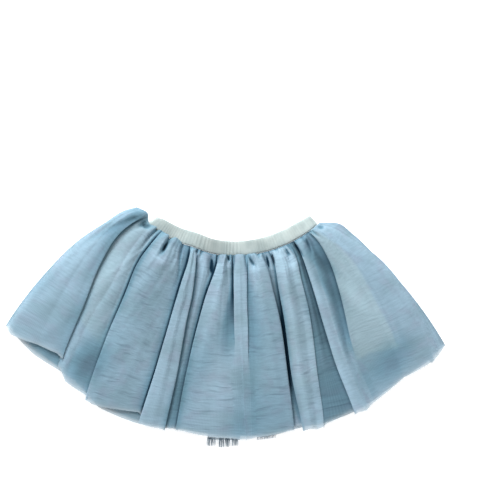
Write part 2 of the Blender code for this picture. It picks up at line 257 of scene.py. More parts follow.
@dataclass(frozen=True)
class NetFinish:
    """Soft tulle: a fine net with crosswise slubs, with shade painted into its folds and grooves.

    Each cell is the size of a noise pattern, in millimetres across and down the cloth.
    """

    name: str
    blue: Colour = (0.338, 0.497, 0.615)
    teal: Colour = (0.272, 0.413, 0.496)
    mauve: Colour = (0.325, 0.407, 0.525)
    slub: Colour = (0.150, 0.215, 0.290)
    mint: Colour = (0.400, 0.545, 0.590)
    # Colour of the painted shade at the feet of the folds, in the grooves and along the waist seam.
    crease: Colour = (0.002, 0.022, 0.045)
    # Tint that makes the painted shade and the darker tones bluer.
    shade_tint: Colour = (0.80, 1.0, 1.05)
    pale: Colour = (0.640, 0.740, 0.800)
    teal_share: float = 0.75
    mauve_share: float = 0.50
    slub_share: float = 0.44
    mint_share: float = 0.60
    teal_cell: Point = (48.0, 40.0, 1.0)
    mauve_cell: Point = (17.0, 22.0, 1.0)
    streak_cell: Point = (12.0, 2.2, 1.0)
    slub_group_cell: Point = (50.0, 22.0, 1.0)
    long_slub_cell: Point = (24.0, 3.6, 1.0)
    short_slub_cell: Point = (11.0, 2.2, 1.0)
    sway_cell: Point = (30.0, 40.0, 1.0)
    sway: float = 9.0
    solid: float = 0.92
    hole: float = 0.15
    hem_cover: float = 0.55
    pitch: float = 1.15
    relief: float = 0.35
    sheen: float = 0.11

    def material(self) -> bpy.types.Material:
        """The net's material, read from the points' cloth, tone, lined, slub, shade and pale values.

        Returns:
            The finished material.
        """
        g = Graph(self.name)
        cloth = g.attribute("cloth").outputs["Vector"]
        tone, shade, pale = g.level("tone"), g.level("shade"), g.level("pale")
        warped = self.wavy(g, cloth)
        streak = g.step(g.noise(warped, self.streak_cell), 0.32, 0.68)
        slubs = self.slubs(g, warped)
        net = g.threads(cloth, self.pitch)
        colour = g.mix(g.level("lined") * self.mint_share, self.ground(g, cloth), self.mint)
        colour = g.mix(slubs * g.level("slub") * self.slub_share, colour, self.slub)
        colour = g.vector("SCALE", colour, Scale=tone * (0.95 + streak * 0.10))
        # Painted shade: low tone and shade tint the colour bluer; shade mixes it towards the crease colour.
        deep = 1.0 - g.step(tone * (1.0 - shade * 0.8), 0.60, 0.95)
        colour = g.mix(deep, colour, g.vector("MULTIPLY", colour, self.shade_tint))
        colour = g.mix(shade, colour, self.crease)
        colour = g.mix(pale, colour, self.pale)
        cover = (self.solid - self.hole) + net * self.hole
        # The painted shade also makes the net opaque, so that its dark lines stay dark.
        cover = cover + (1.0 - cover) * shade
        values = {
            "Base Color": colour,
            "Alpha": cover * (1.0 - pale * (1.0 - self.hem_cover)),
            "Roughness": 0.85,
            "Specular IOR Level": 0.12,
            "Sheen Weight": self.sheen,
            "Sheen Roughness": 0.45,
            "Sheen Tint": (0.80, 0.90, 1.0, 1.0),
        }
        return g.finish(values, streak * 0.32 + net * 0.06 - slubs * 0.28, self.relief)

    def wavy(self, g: Graph, cloth: bpy.types.NodeSocket) -> bpy.types.NodeSocket:
        """The cloth's place with its crosswise threads bent into soft waves.

        Args:
            g: the graph.
            cloth: the place in the flat cloth.

        Returns:
            The bent place.
        """
        sway = g.noise(cloth, self.sway_cell, 1.0) - 0.5
        shift = g.node("ShaderNodeCombineXYZ", {}, {"Y": sway * (self.sway * MM)}).outputs[0]
        return g.vector("ADD", cloth, shift)

    def slubs(self, g: Graph, cloth: bpy.types.NodeSocket) -> Signal:
        """Thick places in the crosswise threads, in loose groups.

        Args:
            g: the graph.
            cloth: the place in the cloth.

        Returns:
            1 on a slub and 0 beside it.
        """
        group = g.step(g.noise(cloth, self.slub_group_cell, 1.0), 0.36, 0.60)
        long = g.step(g.noise(cloth, self.long_slub_cell, 1.5), 0.48, 0.74)
        short = g.step(g.noise(cloth, self.short_slub_cell, 1.0), 0.56, 0.78)
        return g.math("MINIMUM", (long + short * 0.5) * (group * 0.8 + 0.2), 1.0)

    def ground(self, g: Graph, cloth: bpy.types.NodeSocket) -> bpy.types.NodeSocket:
        """The net's soft blue, with teal and mauve areas.

        Args:
            g: the graph.
            cloth: the place in the flat cloth.

        Returns:
            The colour's socket.
        """
        teal = g.step(g.noise(cloth, self.teal_cell), 0.42, 0.66)
        mauve = g.step(g.noise(cloth, self.mauve_cell), 0.46, 0.70)
        colour = g.mix(teal * self.teal_share, self.blue, self.teal)
        return g.mix(mauve * self.mauve_share, colour, self.mauve)


@dataclass(frozen=True)
class JerseyFinish:
    """Plain knit lining."""

    name: str = "lining_jersey"
    light: Colour = (0.560, 0.700, 0.715)
    dark: Colour = (0.460, 0.600, 0.630)
    row_cell: Point = (0.9, 6.0, 1.0)

    def material(self) -> bpy.types.Material:
        """The jersey's material.

        Returns:
            The finished material.
        """
        g = Graph(self.name)
        rows = g.noise(g.attribute("cloth").outputs["Vector"], self.row_cell)
        colour = g.mix(rows, self.dark, self.light)
        return g.finish({"Base Color": colour, "Roughness": 0.9, "Sheen Weight": 0.2}, rows, 0.2)


@dataclass(frozen=True)
class BandFinish:
    """Ribbed knit drawn over the elastic, with a soft sheen on its puckers."""

    name: str = "waistband_knit"
    light: Colour = (0.485, 0.560, 0.550)
    dark: Colour = (0.375, 0.452, 0.450)
    cloud_cell: Point = (24.0, 30.0, 1.0)
    rib_cell: Point = (1.6, 60.0, 1.0)
    weave_cell: Point = (0.5, 0.7, 1.0)

    def material(self) -> bpy.types.Material:
        """The knit's material, read from the points' cloth and tone values.

        Returns:
            The finished material.
        """
        g = Graph(self.name)
        cloth = g.attribute("cloth").outputs["Vector"]
        cloud = g.noise(cloth, self.cloud_cell)
        ribs = g.noise(cloth, self.rib_cell, 1.0)
        weave = g.noise(cloth, self.weave_cell, 1.0)
        colour = g.mix(g.step(cloud, 0.35, 0.65), self.dark, self.light)
        values = {
            "Base Color": g.vector("SCALE", colour, Scale=g.level("tone") * (0.94 + ribs * 0.12)),
            "Roughness": 0.62,
            "Specular IOR Level": 0.35,
            "Sheen Weight": 0.30,
            "Sheen Roughness": 0.4,
        }
        return g.finish(values, ribs * 0.6 + weave * 0.4, 0.4)


@dataclass(frozen=True)
class ThreadFinish:
    """Loose tulle threads."""

    name: str = "tulle_threads"
    light: Colour = (0.330, 0.440, 0.520)
    dark: Colour = (0.210, 0.290, 0.360)
    mottle_cell: Point = (2.5, 6.0, 2.0)

    def material(self) -> bpy.types.Material:
        """The threads' material.

        Returns:
            The finished material.
        """
        g = Graph(self.name)
        place = g.node("ShaderNodeTexCoord").outputs["Object"]
        mottle = g.step(g.noise(place, self.mottle_cell), 0.35, 0.65)
        colour = g.mix(mottle, self.dark, self.light)
        return g.finish({"Base Color": colour, "Roughness": 0.8, "Sheen Weight": 0.3}, mottle, 0.1)


@dataclass(frozen=True)
class PaperFinish:
    """White studio paper, lit through from below so that it takes no shadow."""

    name: str = "white_paper"
    white: Colour = (0.94, 0.945, 0.95)
    grey: Colour = (0.90, 0.91, 0.92)
    grain_cell: Point = (3.0, 3.0, 3.0)
    glow: float = 0.62

    def material(self) -> bpy.types.Material:
        """The paper's material.

        Returns:
            The finished material.
        """
        g = Graph(self.name)
        grain = g.noise(g.node("ShaderNodeTexCoord").outputs["Object"], self.grain_cell)
        values = {
            "Base Color": g.mix(grain * 0.02, self.white, self.grey),
            "Roughness": 0.95,
            "Emission Color": (1.0, 1.0, 1.0, 1.0),
            "Emission Strength": self.glow,
        }
        return g.finish(values)


# The fan and its folds


def ease(t: float) -> float:
    """Smooth step from 0 to 1."""
    t = min(max(t, 0.0), 1.0)
    return t * t * (3 - 2 * t)


@dataclass(frozen=True)
class Fan:
    """The layout that every panel shares."""

    centre: tuple[float, float] = (7.3, 187.3)
    band_centre: tuple[float, float] = (11.3, 269.0)
    seam: float = 172.8
    seam_gap: float = 0.4
    shoulder_angle: float = -74.0
    shoulder_spread: float = 5.0
    shoulder_lift: float = 11.0
    band_swell: float = 3.0
    band_swell_angle: float = -19.0
    band_swell_span: float = 7.0
    stations: Row = (0.0, 0.08, 0.2, 0.4, 0.65, 1.0)

    def along(self, values: Row, depth: float) -> float:
        """A smooth curve through the values at the stations.

        Args:
            values: one value a station.
            depth: where to read the curve.

        Returns:
            The curve's value.
        """
        slopes = np.gradient(np.asarray(values, float), np.asarray(self.stations))
        k = min(max(int(np.searchsorted(self.stations, depth, side="right")) - 1, 0), len(values) - 2)
        span = self.stations[k + 1] - self.stations[k]
        t = (depth - self.stations[k]) / span
        start = (1 + 2 * t) * (1 - t) ** 2 * values[k] + t * (1 - t) ** 2 * span * slopes[k]
        end = t * t * (3 - 2 * t) * values[k + 1] + t * t * (t - 1) * span * slopes[k + 1]
        return float(start + end)

    def swell(self, angle: float) -> float:
        """How far the band bows out of its arc at an angle about the band's centre."""
        return self.band_swell * math.exp(-(((angle - self.band_swell_angle) / self.band_swell_span) ** 2))

    def seam_radius(self, angle: float) -> float:
        """Distance from the fan's centre to the waist seam.

        Args:
            angle: an angle about that centre.

        Returns:
            The radius in millimetres.
        """
        direction = (math.sin(math.radians(angle)), -math.cos(math.radians(angle)))
        offset = (self.centre[0] - self.band_centre[0], self.centre[1] - self.band_centre[1])
        towards = offset[0] * direction[0] + offset[1] * direction[1]
        square = offset[0] ** 2 + offset[1] ** 2
        radius = math.sqrt(towards**2 - square + self.seam**2) - towards + self.seam_gap
        x, y = offset[0] + radius * direction[0], offset[1] + radius * direction[1]
        return radius - self.swell(math.degrees(math.atan2(x, -y)))

    def radius(self, angle: float, depth: float, hem: float, shoulder: bool = False) -> float:
        """Radius at a depth on the way from the waist seam to the hem.

        Args:
            angle: the place's angle.
            depth: from 0 at the seam to 1 at the hem.
            hem: the hem's radius there.
            shoulder: whether the left shoulder's bulge over the band's end is added.

        Returns:
            The radius in millimetres.
        """
        seam = self.seam_radius(angle)
        radius = seam + depth * (hem - seam)
        if shoulder:
            bump = math.exp(-(((angle - self.shoulder_angle) / self.shoulder_spread) ** 2))
            radius -= self.shoulder_lift * bump * max(1 - depth, 0.0) ** 6
        return radius

    def spot(self, angle: float, radius: float, level: float) -> Point:
        """A place in the fan as a point.

        Args:
            angle: its angle.
            radius: its distance from the fan's centre.
            level: its height.

        Returns:
            The point in metres.
        """
        turn = math.radians(angle)
        x = self.centre[0] + radius * math.sin(turn)
        y = self.centre[1] - radius * math.cos(turn)
        return (x * MM, y * MM, level * MM)


FAN = Fan()


def read_row(values: Row, depth: float) -> float:
    """Straight-line reading of a row of values, at the fan's stations or evenly spread."""
    places = FAN.stations if len(values) == len(FAN.stations) else np.linspace(0.0, 1.0, len(values))
    return float(np.interp(depth, places, values))


@dataclass(frozen=True)
class Look:
    """How the cloth looks at a place: its lightness, partly painted shade and highlight, the lining seen
    through it, and its slubs.
    """

    tone: float = 1.0
    lined: float = 0.0
    slub: float = 0.3

    def mixed(self, other: "Look", share: float) -> "Look":
        """This look, with a share of another."""
        return Look(
            self.tone + (other.tone - self.tone) * share,
            self.lined + (other.lined - self.lined) * share,
            self.slub + (other.slub - self.slub) * share,
        )


@dataclass(frozen=True)
class Foot:
    """Painted shade and highlight at an edge.

    Each row of values runs from the waist to the hem, evenly or at the fan's stations. The painted shade's
    line lies right at the edge's foot, its halo spreads further, and the rim paints the edge itself lighter,
    and darker where it is negative.
    """

    line: Row = (0.0, 0.0)
    wide: Row = (2.0, 2.0)
    halo: Row = (0.0, 0.0)
    reach: Row = (8.0, 8.0)
    rim: Row = (0.06, 0.06)
    rim_wide: float = 5.5

    def shade(self, away: float, depth: float) -> float:
        """Painted shade on the low side of the edge.

        Args:
            away: distance from the edge in millimetres.
            depth: from 0 at the seam to 1 at the hem.

        Returns:
            The shade, from 0 to 1.
        """
        away = max(away, 0.0)
        rows = (self.line, self.wide, self.halo, self.reach)
        line, wide, halo, reach = (read_row(row, depth) for row in rows)
        crisp = max(line, 0.0) * math.exp(-((away / max(wide, 1.0)) ** 3))
        return crisp + max(halo, 0.0) * math.exp(-((away / max(reach, 1.0)) ** 2))

    def lighten(self, away: float, depth: float) -> float:
        """Factor of painted highlight on the high side, a distance from the edge; below 1 it is painted
        shade.
        """
        return 1.0 + read_row(self.rim, depth) * math.exp(-((away / self.rim_wide) ** 2))


@dataclass(frozen=True)
class Fold:
    """One pleat's visible edge, or a crest, which has no lap.

    The heights are above the bed, on the left and right of the edge; the higher side laps over. The
    look is that of the cloth on its right.
    """

    name: str
    angles: Row
    hem_left: float
    hem_right: float
    left: float
    right: float
    lap: float
    ends: float
    look: Look
    foot: Foot = Foot()


# Each look's tone is partly the cloth's own and partly painted shade in the valleys; each foot paints shade
# and highlight at its edge.
FOLDS = (
    Fold(
        "left_side", (-78.5, -78.0, -75.0, -71.0, -65.5, -58.5), 356, 356, 9, 9, 0, 9,
        Look(0.90, 0.0, 0.15),
    ),
    Fold(
        "roll_crest", (-76.0, -75.2, -72.0, -66.0, -59.0, -51.0), 335, 335, 12, 12, 0, 9,
        Look(0.87, 0.0, 0.2),
    ),
    Fold(
        "roll_edge", (-71.5, -70.5, -67.5, -60.5, -52.0, -44.5), 323, 335, 12, 6, 4, 9,
        Look(0.97, 0.55, 0.35),
        Foot(
            (0.6, 0.6, 0.6, 0.5, 0.45, 0.4), (2.4, 2.4), (0.0, 0.0, 0.05, 0.32, 0.42, 0.25),
            (6.0, 6.0, 6.0, 12.0, 10.0, 5.0), (-0.20, -0.12), 12.0,
        ),
    ),
    Fold(
        "valley_ridge", (-64.5, -62.0, -58.0, -51.5, -47.0, -40.5), 343, 343, 6, 6, 0, 9,
        Look(0.90, 0.4, 0.4),
    ),
    Fold(
        "third_edge", (-57.5, -55.0, -51.8, -45.1, -39.9, -34.5), 341, 346, 4, 13, 4, 9,
        Look(0.87, 0.1, 1.0),
        Foot(
            (0.8, 0.95, 1.0, 1.0, 0.5, 0.1), (3.6, 3.6), (0.1, 0.1, 0.1, 0.22, 0.35, 0.25), (5.0, 8.0),
            (-0.2, -0.3, -0.5, -0.30, 0.02, 0.12), 4.5,
        ),
    ),
    Fold(
        "fourth_left", (-33.5, -30.1, -27.6, -24.8, -22.7, -21.4), 327, 340, 3, 15, 5, 9,
        Look(0.93, 0.1, 0.5),
        Foot(
            (0.8, 0.9, 1.0, 1.0, 1.0, 0.8), (3.4, 3.2), (0.50, 0.62, 0.58, 0.42, 0.45, 0.40),
            (11.0, 10.0, 8.0, 7.0, 8.0, 9.0),
            (-0.15, 0.10),
        ),
    ),
    Fold(
        "fourth_right", (-29.0, -24.5, -20.6, -18.2, -16.2, -15.2), 338, 335, 13, 4, 3, 9,
        Look(0.94, 0.0, 0.7),
        Foot((0.6, 0.6, 0.5, 0.4, 0.3, 0.3), (2.0, 2.0), (0.1, 0.1), (5.0, 5.0), (0.0, 0.05)),
    ),
    Fold(
        "fifth_left", (-9.5, -10.5, -12.5, -13.5, -13.5, -12.8), 333, 334, 3, 13, 5, 9,
        Look(0.87, 0.1, 1.0),
        Foot(
            (1.0, 1.0, 1.0, 0.8, 0.55, 0.5), (3.0, 2.6), (0.5, 0.5, 0.55, 0.30, 0.25, 0.25), (6.0, 6.0),
            (0.0, 0.0, 0.0, -0.05, -0.20, -0.24),
        ),
    ),
    Fold(
        "sixth_left", (2.5, 2.1, 1.8, 1.5, 2.0, 2.5), 338, 339, 7, 12, 4, 0.62,
        Look(0.94, 0.1, 0.25),
        Foot(
            (0.7, 0.8, 0.9, 0.5, 0.15, 0.0), (2.0, 2.4, 5.0, 15.0, 24.0, 24.0),
            (0.3, 0.3, 0.2, 0.0, 0.0, 0.0), (6.0, 12.0), (0.0, 0.0),
        ),
    ),
    Fold(
        "sixth_right", (13.0, 11.3, 9.0, 7.1, 5.5, 4.5), 339, 338, 12, 8, 2, 0.72,
        Look(0.83, 0.1, 1.0),
        Foot(
            (0.5, 0.4, 0.12, 0.0, 0.0, 0.0), (2.0, 2.0), (0.2, 0.25, 0.30, 0.33, 0.3, 0.1),
            (3.0, 4.0, 9.0, 16.0, 22.0, 24.0),
        ),
    ),
    Fold(
        "seventh_right", (25.0, 25.0, 23.0, 20.5, 17.5, 14.8), 337, 333, 13, 0, 4, 9,
        Look(1.10, 0.0, 0.9), Foot((0.5, 0.2, 0.2, 0.7, 0.7, 0.3), (2.4, 3.4), rim=(0.0, 0.0)),
    ),
    Fold(
        "eighth_left", (32.0, 30.0, 26.0, 22.0, 18.4, 16.6), 333, 342, 0, 16, 4, 9,
        Look(1.03, 0.25, 0.9),
        Foot(
            (0.6, 0.5, 0.6, 0.95, 0.9, 0.25), (2.4, 4.4), (0.1, 0.1, 0.2, 0.2, 0.2, 0.1), (5.0, 8.0),
            (0.0, 0.0, -0.28, -0.36, -0.32, -0.20), 5.0,
        ),
    ),
    Fold(
        "eighth_right", (46.5, 44.0, 38.5, 32.4, 26.4, 21.4), 345, 343, 9, 5, 1.0, 9,
        Look(0.56, 0.2, 1.0), Foot((0.2, 0.0), (2.4, 2.4), (0.1, 0.05), (8.0, 8.0), (-0.02, 0.08), 6.0),
    ),
    Fold(
        "ninth_left", (50.5, 47.3, 42.4, 36.3, 31.6, 28.8), 343, 348, 3, 13, 4, 9,
        Look(1.03, 0.1, 0.3),
        Foot(
            (0.8, 0.6, 0.5, 0.40, 0.30, 0.15), (2.2, 2.4), (0.1, 0.25, 0.35, 0.42, 0.25, 0.1), (8.0, 14.0),
            (0.04, 0.10),
        ),
    ),
    Fold("ninth_right", (58.0, 52.5, 47.0, 40.0, 34.6, 31.5), 351, 351, 10, 10, 0, 9, Look(0.92, 0.1, 0.4)),
    Fold(
        "wing_left", (61.0, 58.8, 54.3, 46.2, 38.2, 34.0), 348, 347, 1, 12, 4, 0.84,
        Look(0.94, 0.9, 0.25),
        Foot(
            (0.2, 0.2, 0.2, 0.2, 0.05, 0.0), (2.4, 2.4), (0.1, 0.20, 0.50, 0.58, 0.45, 0.0),
            (8.0, 9.0, 14.0, 16.0, 14.0, 12.0), (0.0, -0.10), 9.0,
        ),
    ),
    Fold("wing_crest", (64.5, 63.5, 60.0, 55.0, 49.0, 42.5), 346, 346, 12, 12, 0, 9, Look(0.99, 0.9, 0.3)),
    Fold("right_side", (68.0, 68.8, 67.6, 65.0, 59.7, 52.0), 359.5, 359.5, 9, 9, 0, 9, Look(0.97, 0.0, 0.3)),
)
FOLD_STEPS = (
    0.0, 0.08, 0.15, 0.20, 0.25, 0.30, 0.36, 0.42, 0.50, 0.58, 0.66, 0.73, 0.78, 0.82, 0.85, 0.88, 0.91, 0.94,
    0.97, 1.0,
)


@dataclass(frozen=True)
class Groove:
    """A crease that springs from the waist seam between two puffs.

    It is deepest a little below the seam, runs from one angle to another and dies out. Dark says how
    deep the shade painted into it is.
    """

    name: str
    start: float
    end: float
    top: float
    length: float
    wide: float
    fall: float
    dark: float


GROOVES = (
    Groove("left end fold", -72.5, -69.0, 14.0, 80.0, 5.0, 2.4, 0.12),
    Groove("left end notch", -68.5, -66.5, 3.0, 12.0, 2.8, 3.5, 0.30),
    Groove("left smile", -66.0, -65.4, 7.0, 3.5, 4.5, 3.0, 0.60),
    Groove("third notch", -60.8, -56.0, 2.0, 30.0, 2.0, 2.6, 0.10),
    Groove("third split", -50.8, -50.0, 0.0, 8.0, 2.4, 3.5, 0.25),
    Groove("third drop", -50.2, -46.6, 15.0, 8.0, 2.7, 8.0, 1.00),
    Groove("third right line", -40.4, -29.5, 4.0, 44.0, 1.8, 1.8, 0.30),
    Groove("fourth ring", -28.3, -27.6, 4.0, 3.0, 1.8, 4.0, 0.70),
    Groove("fourth notch", -24.5, -23.5, 1.0, 8.0, 2.0, 3.0, 0.25),
    Groove("teardrop", -15.6, -12.8, 15.5, 11.5, 3.3, 9.0, 1.15),
    Groove("fifth notch", -10.6, -10.4, 2.0, 9.0, 2.2, 3.5, 0.35),
    Groove("fifth ring", -2.0, -1.4, 5.0, 3.0, 2.0, 5.0, 0.85),
    Groove("sixth notch", 2.6, 1.2, 4.0, 26.0, 2.4, 4.0, 0.45),
    Groove("sixth right notch", 12.6, 10.5, 3.0, 26.0, 2.0, 3.0, 0.35),
    Groove("seventh comma", 14.6, 17.0, 11.0, 5.0, 2.1, 5.0, 0.80),
    Groove("seventh split", 22.8, 22.2, 0.0, 9.0, 2.0, 2.6, 0.25),
    Groove("seventh spot", 28.6, 25.6, 14.0, 10.0, 2.0, 4.0, 1.15),
    Groove("eighth spot", 32.8, 29.6, 12.0, 10.0, 1.7, 4.0, 1.15),
    Groove("eighth small", 36.6, 35.8, 1.0, 9.0, 2.2, 2.4, 0.15),
    Groove("eighth comma", 42.8, 40.4, 12.0, 8.0, 2.0, 4.5, 0.90),
    Groove("eighth notch", 45.4, 43.5, 5.0, 20.0, 2.0, 3.0, 0.30),
    Groove("eighth right spot", 49.2, 46.6, 12.0, 16.0, 1.8, 3.5, 0.75),
    Groove("ninth spot", 57.5, 50.5, 15.0, 16.0, 2.0, 3.5, 0.55),
    Groove("ninth small", 55.6, 53.6, 4.0, 14.0, 2.0, 2.6, 0.25),
    Groove("pocket", 57.2, 50.2, 26.0, 40.0, 6.0, 3.0, 0.22),
    Groove("wing notch", 62.0, 61.0, 3.0, 12.0, 2.2, 3.0, 0.25),
    Groove("shoulder smile", 66.6, 66.2, 7.0, 3.5, 3.4, 3.0, 0.40),
    Groove("lining side band", 68.8, 46.6, 130.0, 90.0, 7.0, 0.0, 0.08),
    Groove("lining side line", 66.6, 44.8, 130.0, 90.0, 2.6, 0.0, 0.10),
)


@dataclass(frozen=True)
class Patch:
    """A soft swell or a change of tone somewhere on the front; the tone is partly painted shade and
    highlight.
    """

    name: str
    angle: float
    radius: float
    wide: float
    long: float
    rise: float
    tone: float


PATCHES = (
    Patch("roll top", -72.0, 150.0, 16.0, 40.0, 0.0, -0.14),
    Patch("roll lower end", -50.0, 262.0, 12.0, 60.0, 0.0, -0.05),
    Patch("roll middle", -63.0, 240.0, 16.0, 40.0, 0.8, 0.06),
    Patch("roll outer foot", -64.0, 300.0, 14.0, 40.0, 0.0, -0.14),
    Patch("roll hem", -50.0, 327.0, 24.0, 16.0, -3.0, 0.02),
    Patch("third hem", -28.0, 345.0, 20.0, 14.0, -2.0, 0.0),
    Patch("valley foot", -39.5, 306.0, 22.0, 34.0, 0.0, -0.46),
    Patch("valley light", -55.0, 190.0, 9.0, 50.0, 0.8, 0.20),
    Patch("valley top", -57.0, 150.0, 12.0, 28.0, 0.0, -0.05),
    Patch("third top", -47.0, 125.0, 22.0, 24.0, 0.0, 0.16),
    Patch("third puff", -43.4, 136.0, 9.0, 6.0, 1.8, 0.30),
    Patch("third puff shade", -46.6, 128.0, 6.0, 7.0, -0.6, -0.28),
    Patch("third right", -36.0, 132.0, 9.0, 16.0, 0.0, 0.10),
    Patch("fourth gap", -14.8, 316.0, 9.0, 50.0, 0.0, -0.32),
    Patch("fourth gap middle", -14.5, 285.0, 8.0, 60.0, 0.0, -0.12),
    Patch("fifth left foot", -11.3, 272.0, 14.0, 50.0, 0.0, -0.12),
    Patch("fifth left middle", -7.8, 234.0, 14.0, 34.0, 0.0, -0.10),
    Patch("fifth light", -3.2, 262.0, 18.0, 44.0, 0.0, 0.13),
    Patch("sixth shade", 5.0, 262.0, 14.0, 30.0, 0.0, -0.12),
    Patch("ninth light", 29.0, 290.0, 14.0, 40.0, 0.0, 0.10),
    Patch("eighth gap foot", 25.0, 300.0, 20.0, 30.0, 0.0, -0.12),
    Patch("pocket top", 50.2, 160.0, 8.0, 24.0, 0.0, -0.38),
    Patch("ninth top", 51.5, 134.0, 14.0, 22.0, 0.0, -0.24),
    Patch("ninth upper", 44.5, 175.0, 9.0, 26.0, 0.0, -0.20),
    Patch("eighth low", 19.5, 300.0, 12.0, 40.0, 0.0, 0.10),
    Patch("third middle", -38.0, 230.0, 22.0, 60.0, 0.0, -0.05),
    Patch("fourth top", -26.0, 112.0, 16.0, 26.0, 0.0, 0.22),
    Patch("fifth top", -5.0, 112.0, 16.0, 30.0, 0.0, 0.20),
    Patch("fifth puff", -3.0, 108.0, 11.0, 6.0, 1.4, 0.05),
    Patch("fifth middle", -7.5, 155.0, 14.0, 40.0, 0.0, 0.10),
    Patch("fifth valley", -2.0, 205.0, 10.0, 34.0, 0.0, -0.12),
    Patch("fifth foot", -6.0, 300.0, 40.0, 40.0, 0.0, 0.08),
    Patch("sixth low", 4.0, 290.0, 18.0, 40.0, 0.0, -0.12),
    Patch("sixth foot", 3.0, 322.0, 20.0, 22.0, 0.0, -0.20),
    Patch("seventh top", 18.0, 116.0, 14.0, 30.0, 0.0, 0.26),
    Patch("seventh puff", 17.5, 117.0, 10.0, 6.0, 1.6, 0.08),
    Patch("seventh foot", 10.0, 310.0, 26.0, 40.0, 0.0, -0.07),
    Patch("eighth top", 38.0, 130.0, 16.0, 26.0, 0.0, 0.26),
    Patch("eighth puff", 38.0, 137.0, 11.0, 7.0, 1.5, 0.06),
    Patch("eighth valley", 33.0, 205.0, 12.0, 40.0, 0.0, -0.22),
    Patch("pocket", 45.0, 200.0, 9.0, 45.0, 0.0, -0.10),
    Patch("wing light", 49.0, 228.0, 10.0, 34.0, 0.0, 0.18),
    Patch("wing foot", 43.0, 318.0, 46.0, 24.0, 0.0, -0.34),
    Patch("wing top", 64.0, 160.0, 18.0, 26.0, 0.9, 0.03),
)

# How far the puffs lap over the band, in millimetres by angle, and how much of its height a pleat has by
# depth. Then the lining's hem by angle and its right side by depth.
OVERLAP = (
    (-75, 0.0), (-70, 2.0), (-66, 4.0), (-62, 7.0), (-57, 6.0), (-52, 7.0), (-47, 8.5), (-43, 5.0),
    (-40, 1.2), (-30, 0.9), (-16, 0.9), (-10, 2.5), (-3, 4.0), (8, 4.0), (14, 4.0), (20, 3.0),
    (24, 1.0), (28, 0.6), (60, 0.6), (66, 0.0), (70, 0.0),
)
RISE = (
    (0.0, 0.08), (0.004, 0.36), (0.012, 0.58), (0.028, 0.80), (0.06, 0.93), (0.13, 1.0), (0.4, 0.92),
    (0.65, 0.78), (1.0, 0.52),
)
LINING_HEM = ((-50, 268), (-40, 274), (0, 280), (30, 286), (40, 290), (47.2, 313))
LINING_RIGHT = (63.0, 63.0, 62.0, 58.8, 53.0, 47.0)


def table_value(table: Table, place: float) -> float:
    """Straight-line reading of a short table of (place, value) rows."""
    places, values = zip(*table)
    return float(np.interp(place, places, values))


def sheet_mesh(name: str, grid: list[list[Point]], loop: bool, values: dict) -> bpy.types.Object:
    """A smooth single-walled mesh through rows of points.

    Args:
        name: the object's name.
        grid: rows of points, all of one length.
        loop: whether each row closes on itself.
        values: per-point values to store, one number or three for each point.

    Returns:
        The new object, linked to the scene.
    """
    down, across = len(grid), len(grid[0])
    points = np.asarray(grid, np.float32).reshape(-1, 3)
    steps = across if loop else across - 1
    row, column = np.meshgrid(np.arange(down - 1), np.arange(steps), indexing="ij")
    here = row * across + column
    right = row * across + (column + 1) % across
    faces = np.stack([here, here + across, right + across, right], axis=-1).reshape(-1, 4)
    mesh = bpy.data.meshes.new(name)
    mesh.from_pydata(points.tolist(), [], faces.tolist())
    for key, value in values.items():
        flat = np.asarray(value, np.float32)
        wide = flat.size == 3 * len(points)
        store = mesh.attributes.new(key, "FLOAT_VECTOR" if wide else "FLOAT", "POINT")
        store.data.foreach_set("vector" if wide else "value", flat.reshape(-1))
    mesh.shade_smooth()
    mesh.update()
    made = bpy.data.objects.new(name, mesh)
    bpy.context.scene.collection.objects.link(made)
    return made


def dress(piece: bpy.types.Object, material: bpy.types.Material, slot: Slot, *nodes: str) -> None:
    """Gives a piece its material and body, and hides the CAD nodes that it stands for.

    Args:
        piece: the mesh object.
        material: its finish.
        slot: not used.
        nodes: the CAD nodes that it replaces.
    """
    piece.data.materials.append(material)
    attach(piece, BODY)
    if nodes:
        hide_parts(*nodes)
    LOG.info("%s: %d points, %d faces", piece.name, len(piece.data.vertices), len(piece.data.polygons))


@dataclass
class Column:
    """One place in a row of cloth: where it is and how it looks."""

    angle: float
    hem: float
    level: float
    look: Look = Look()
    shade: float = 0.0


@dataclass(frozen=True)
class FoldPlace:
    """A fold at one depth."""

    angle: float
    radius: float
    left: float
    right: float
    lap: float
    strength: float


@dataclass
class Weave:
    """What a tube's points carry: polar places and the values that its finish reads."""

    places: np.ndarray
    tone: np.ndarray
    lined: np.ndarray
    slub: np.ndarray
    shade: np.ndarray
    from_hem: np.ndarray
    front: int


@dataclass(frozen=True)
class Seam:
    """How a front is gathered at the waist seam and how shade is painted along it, in millimetres, degrees
    and shares.
    """

    overlap_reach: float = 2.5
    puff_rise: float = 1.8
    puff_reach: float = 6.0
    line_dark: float = 0.8
    line_wide: float = 1.8
    line_span: float = 62.0
    dim: float = 0.18
    dim_reach: float = 8.0


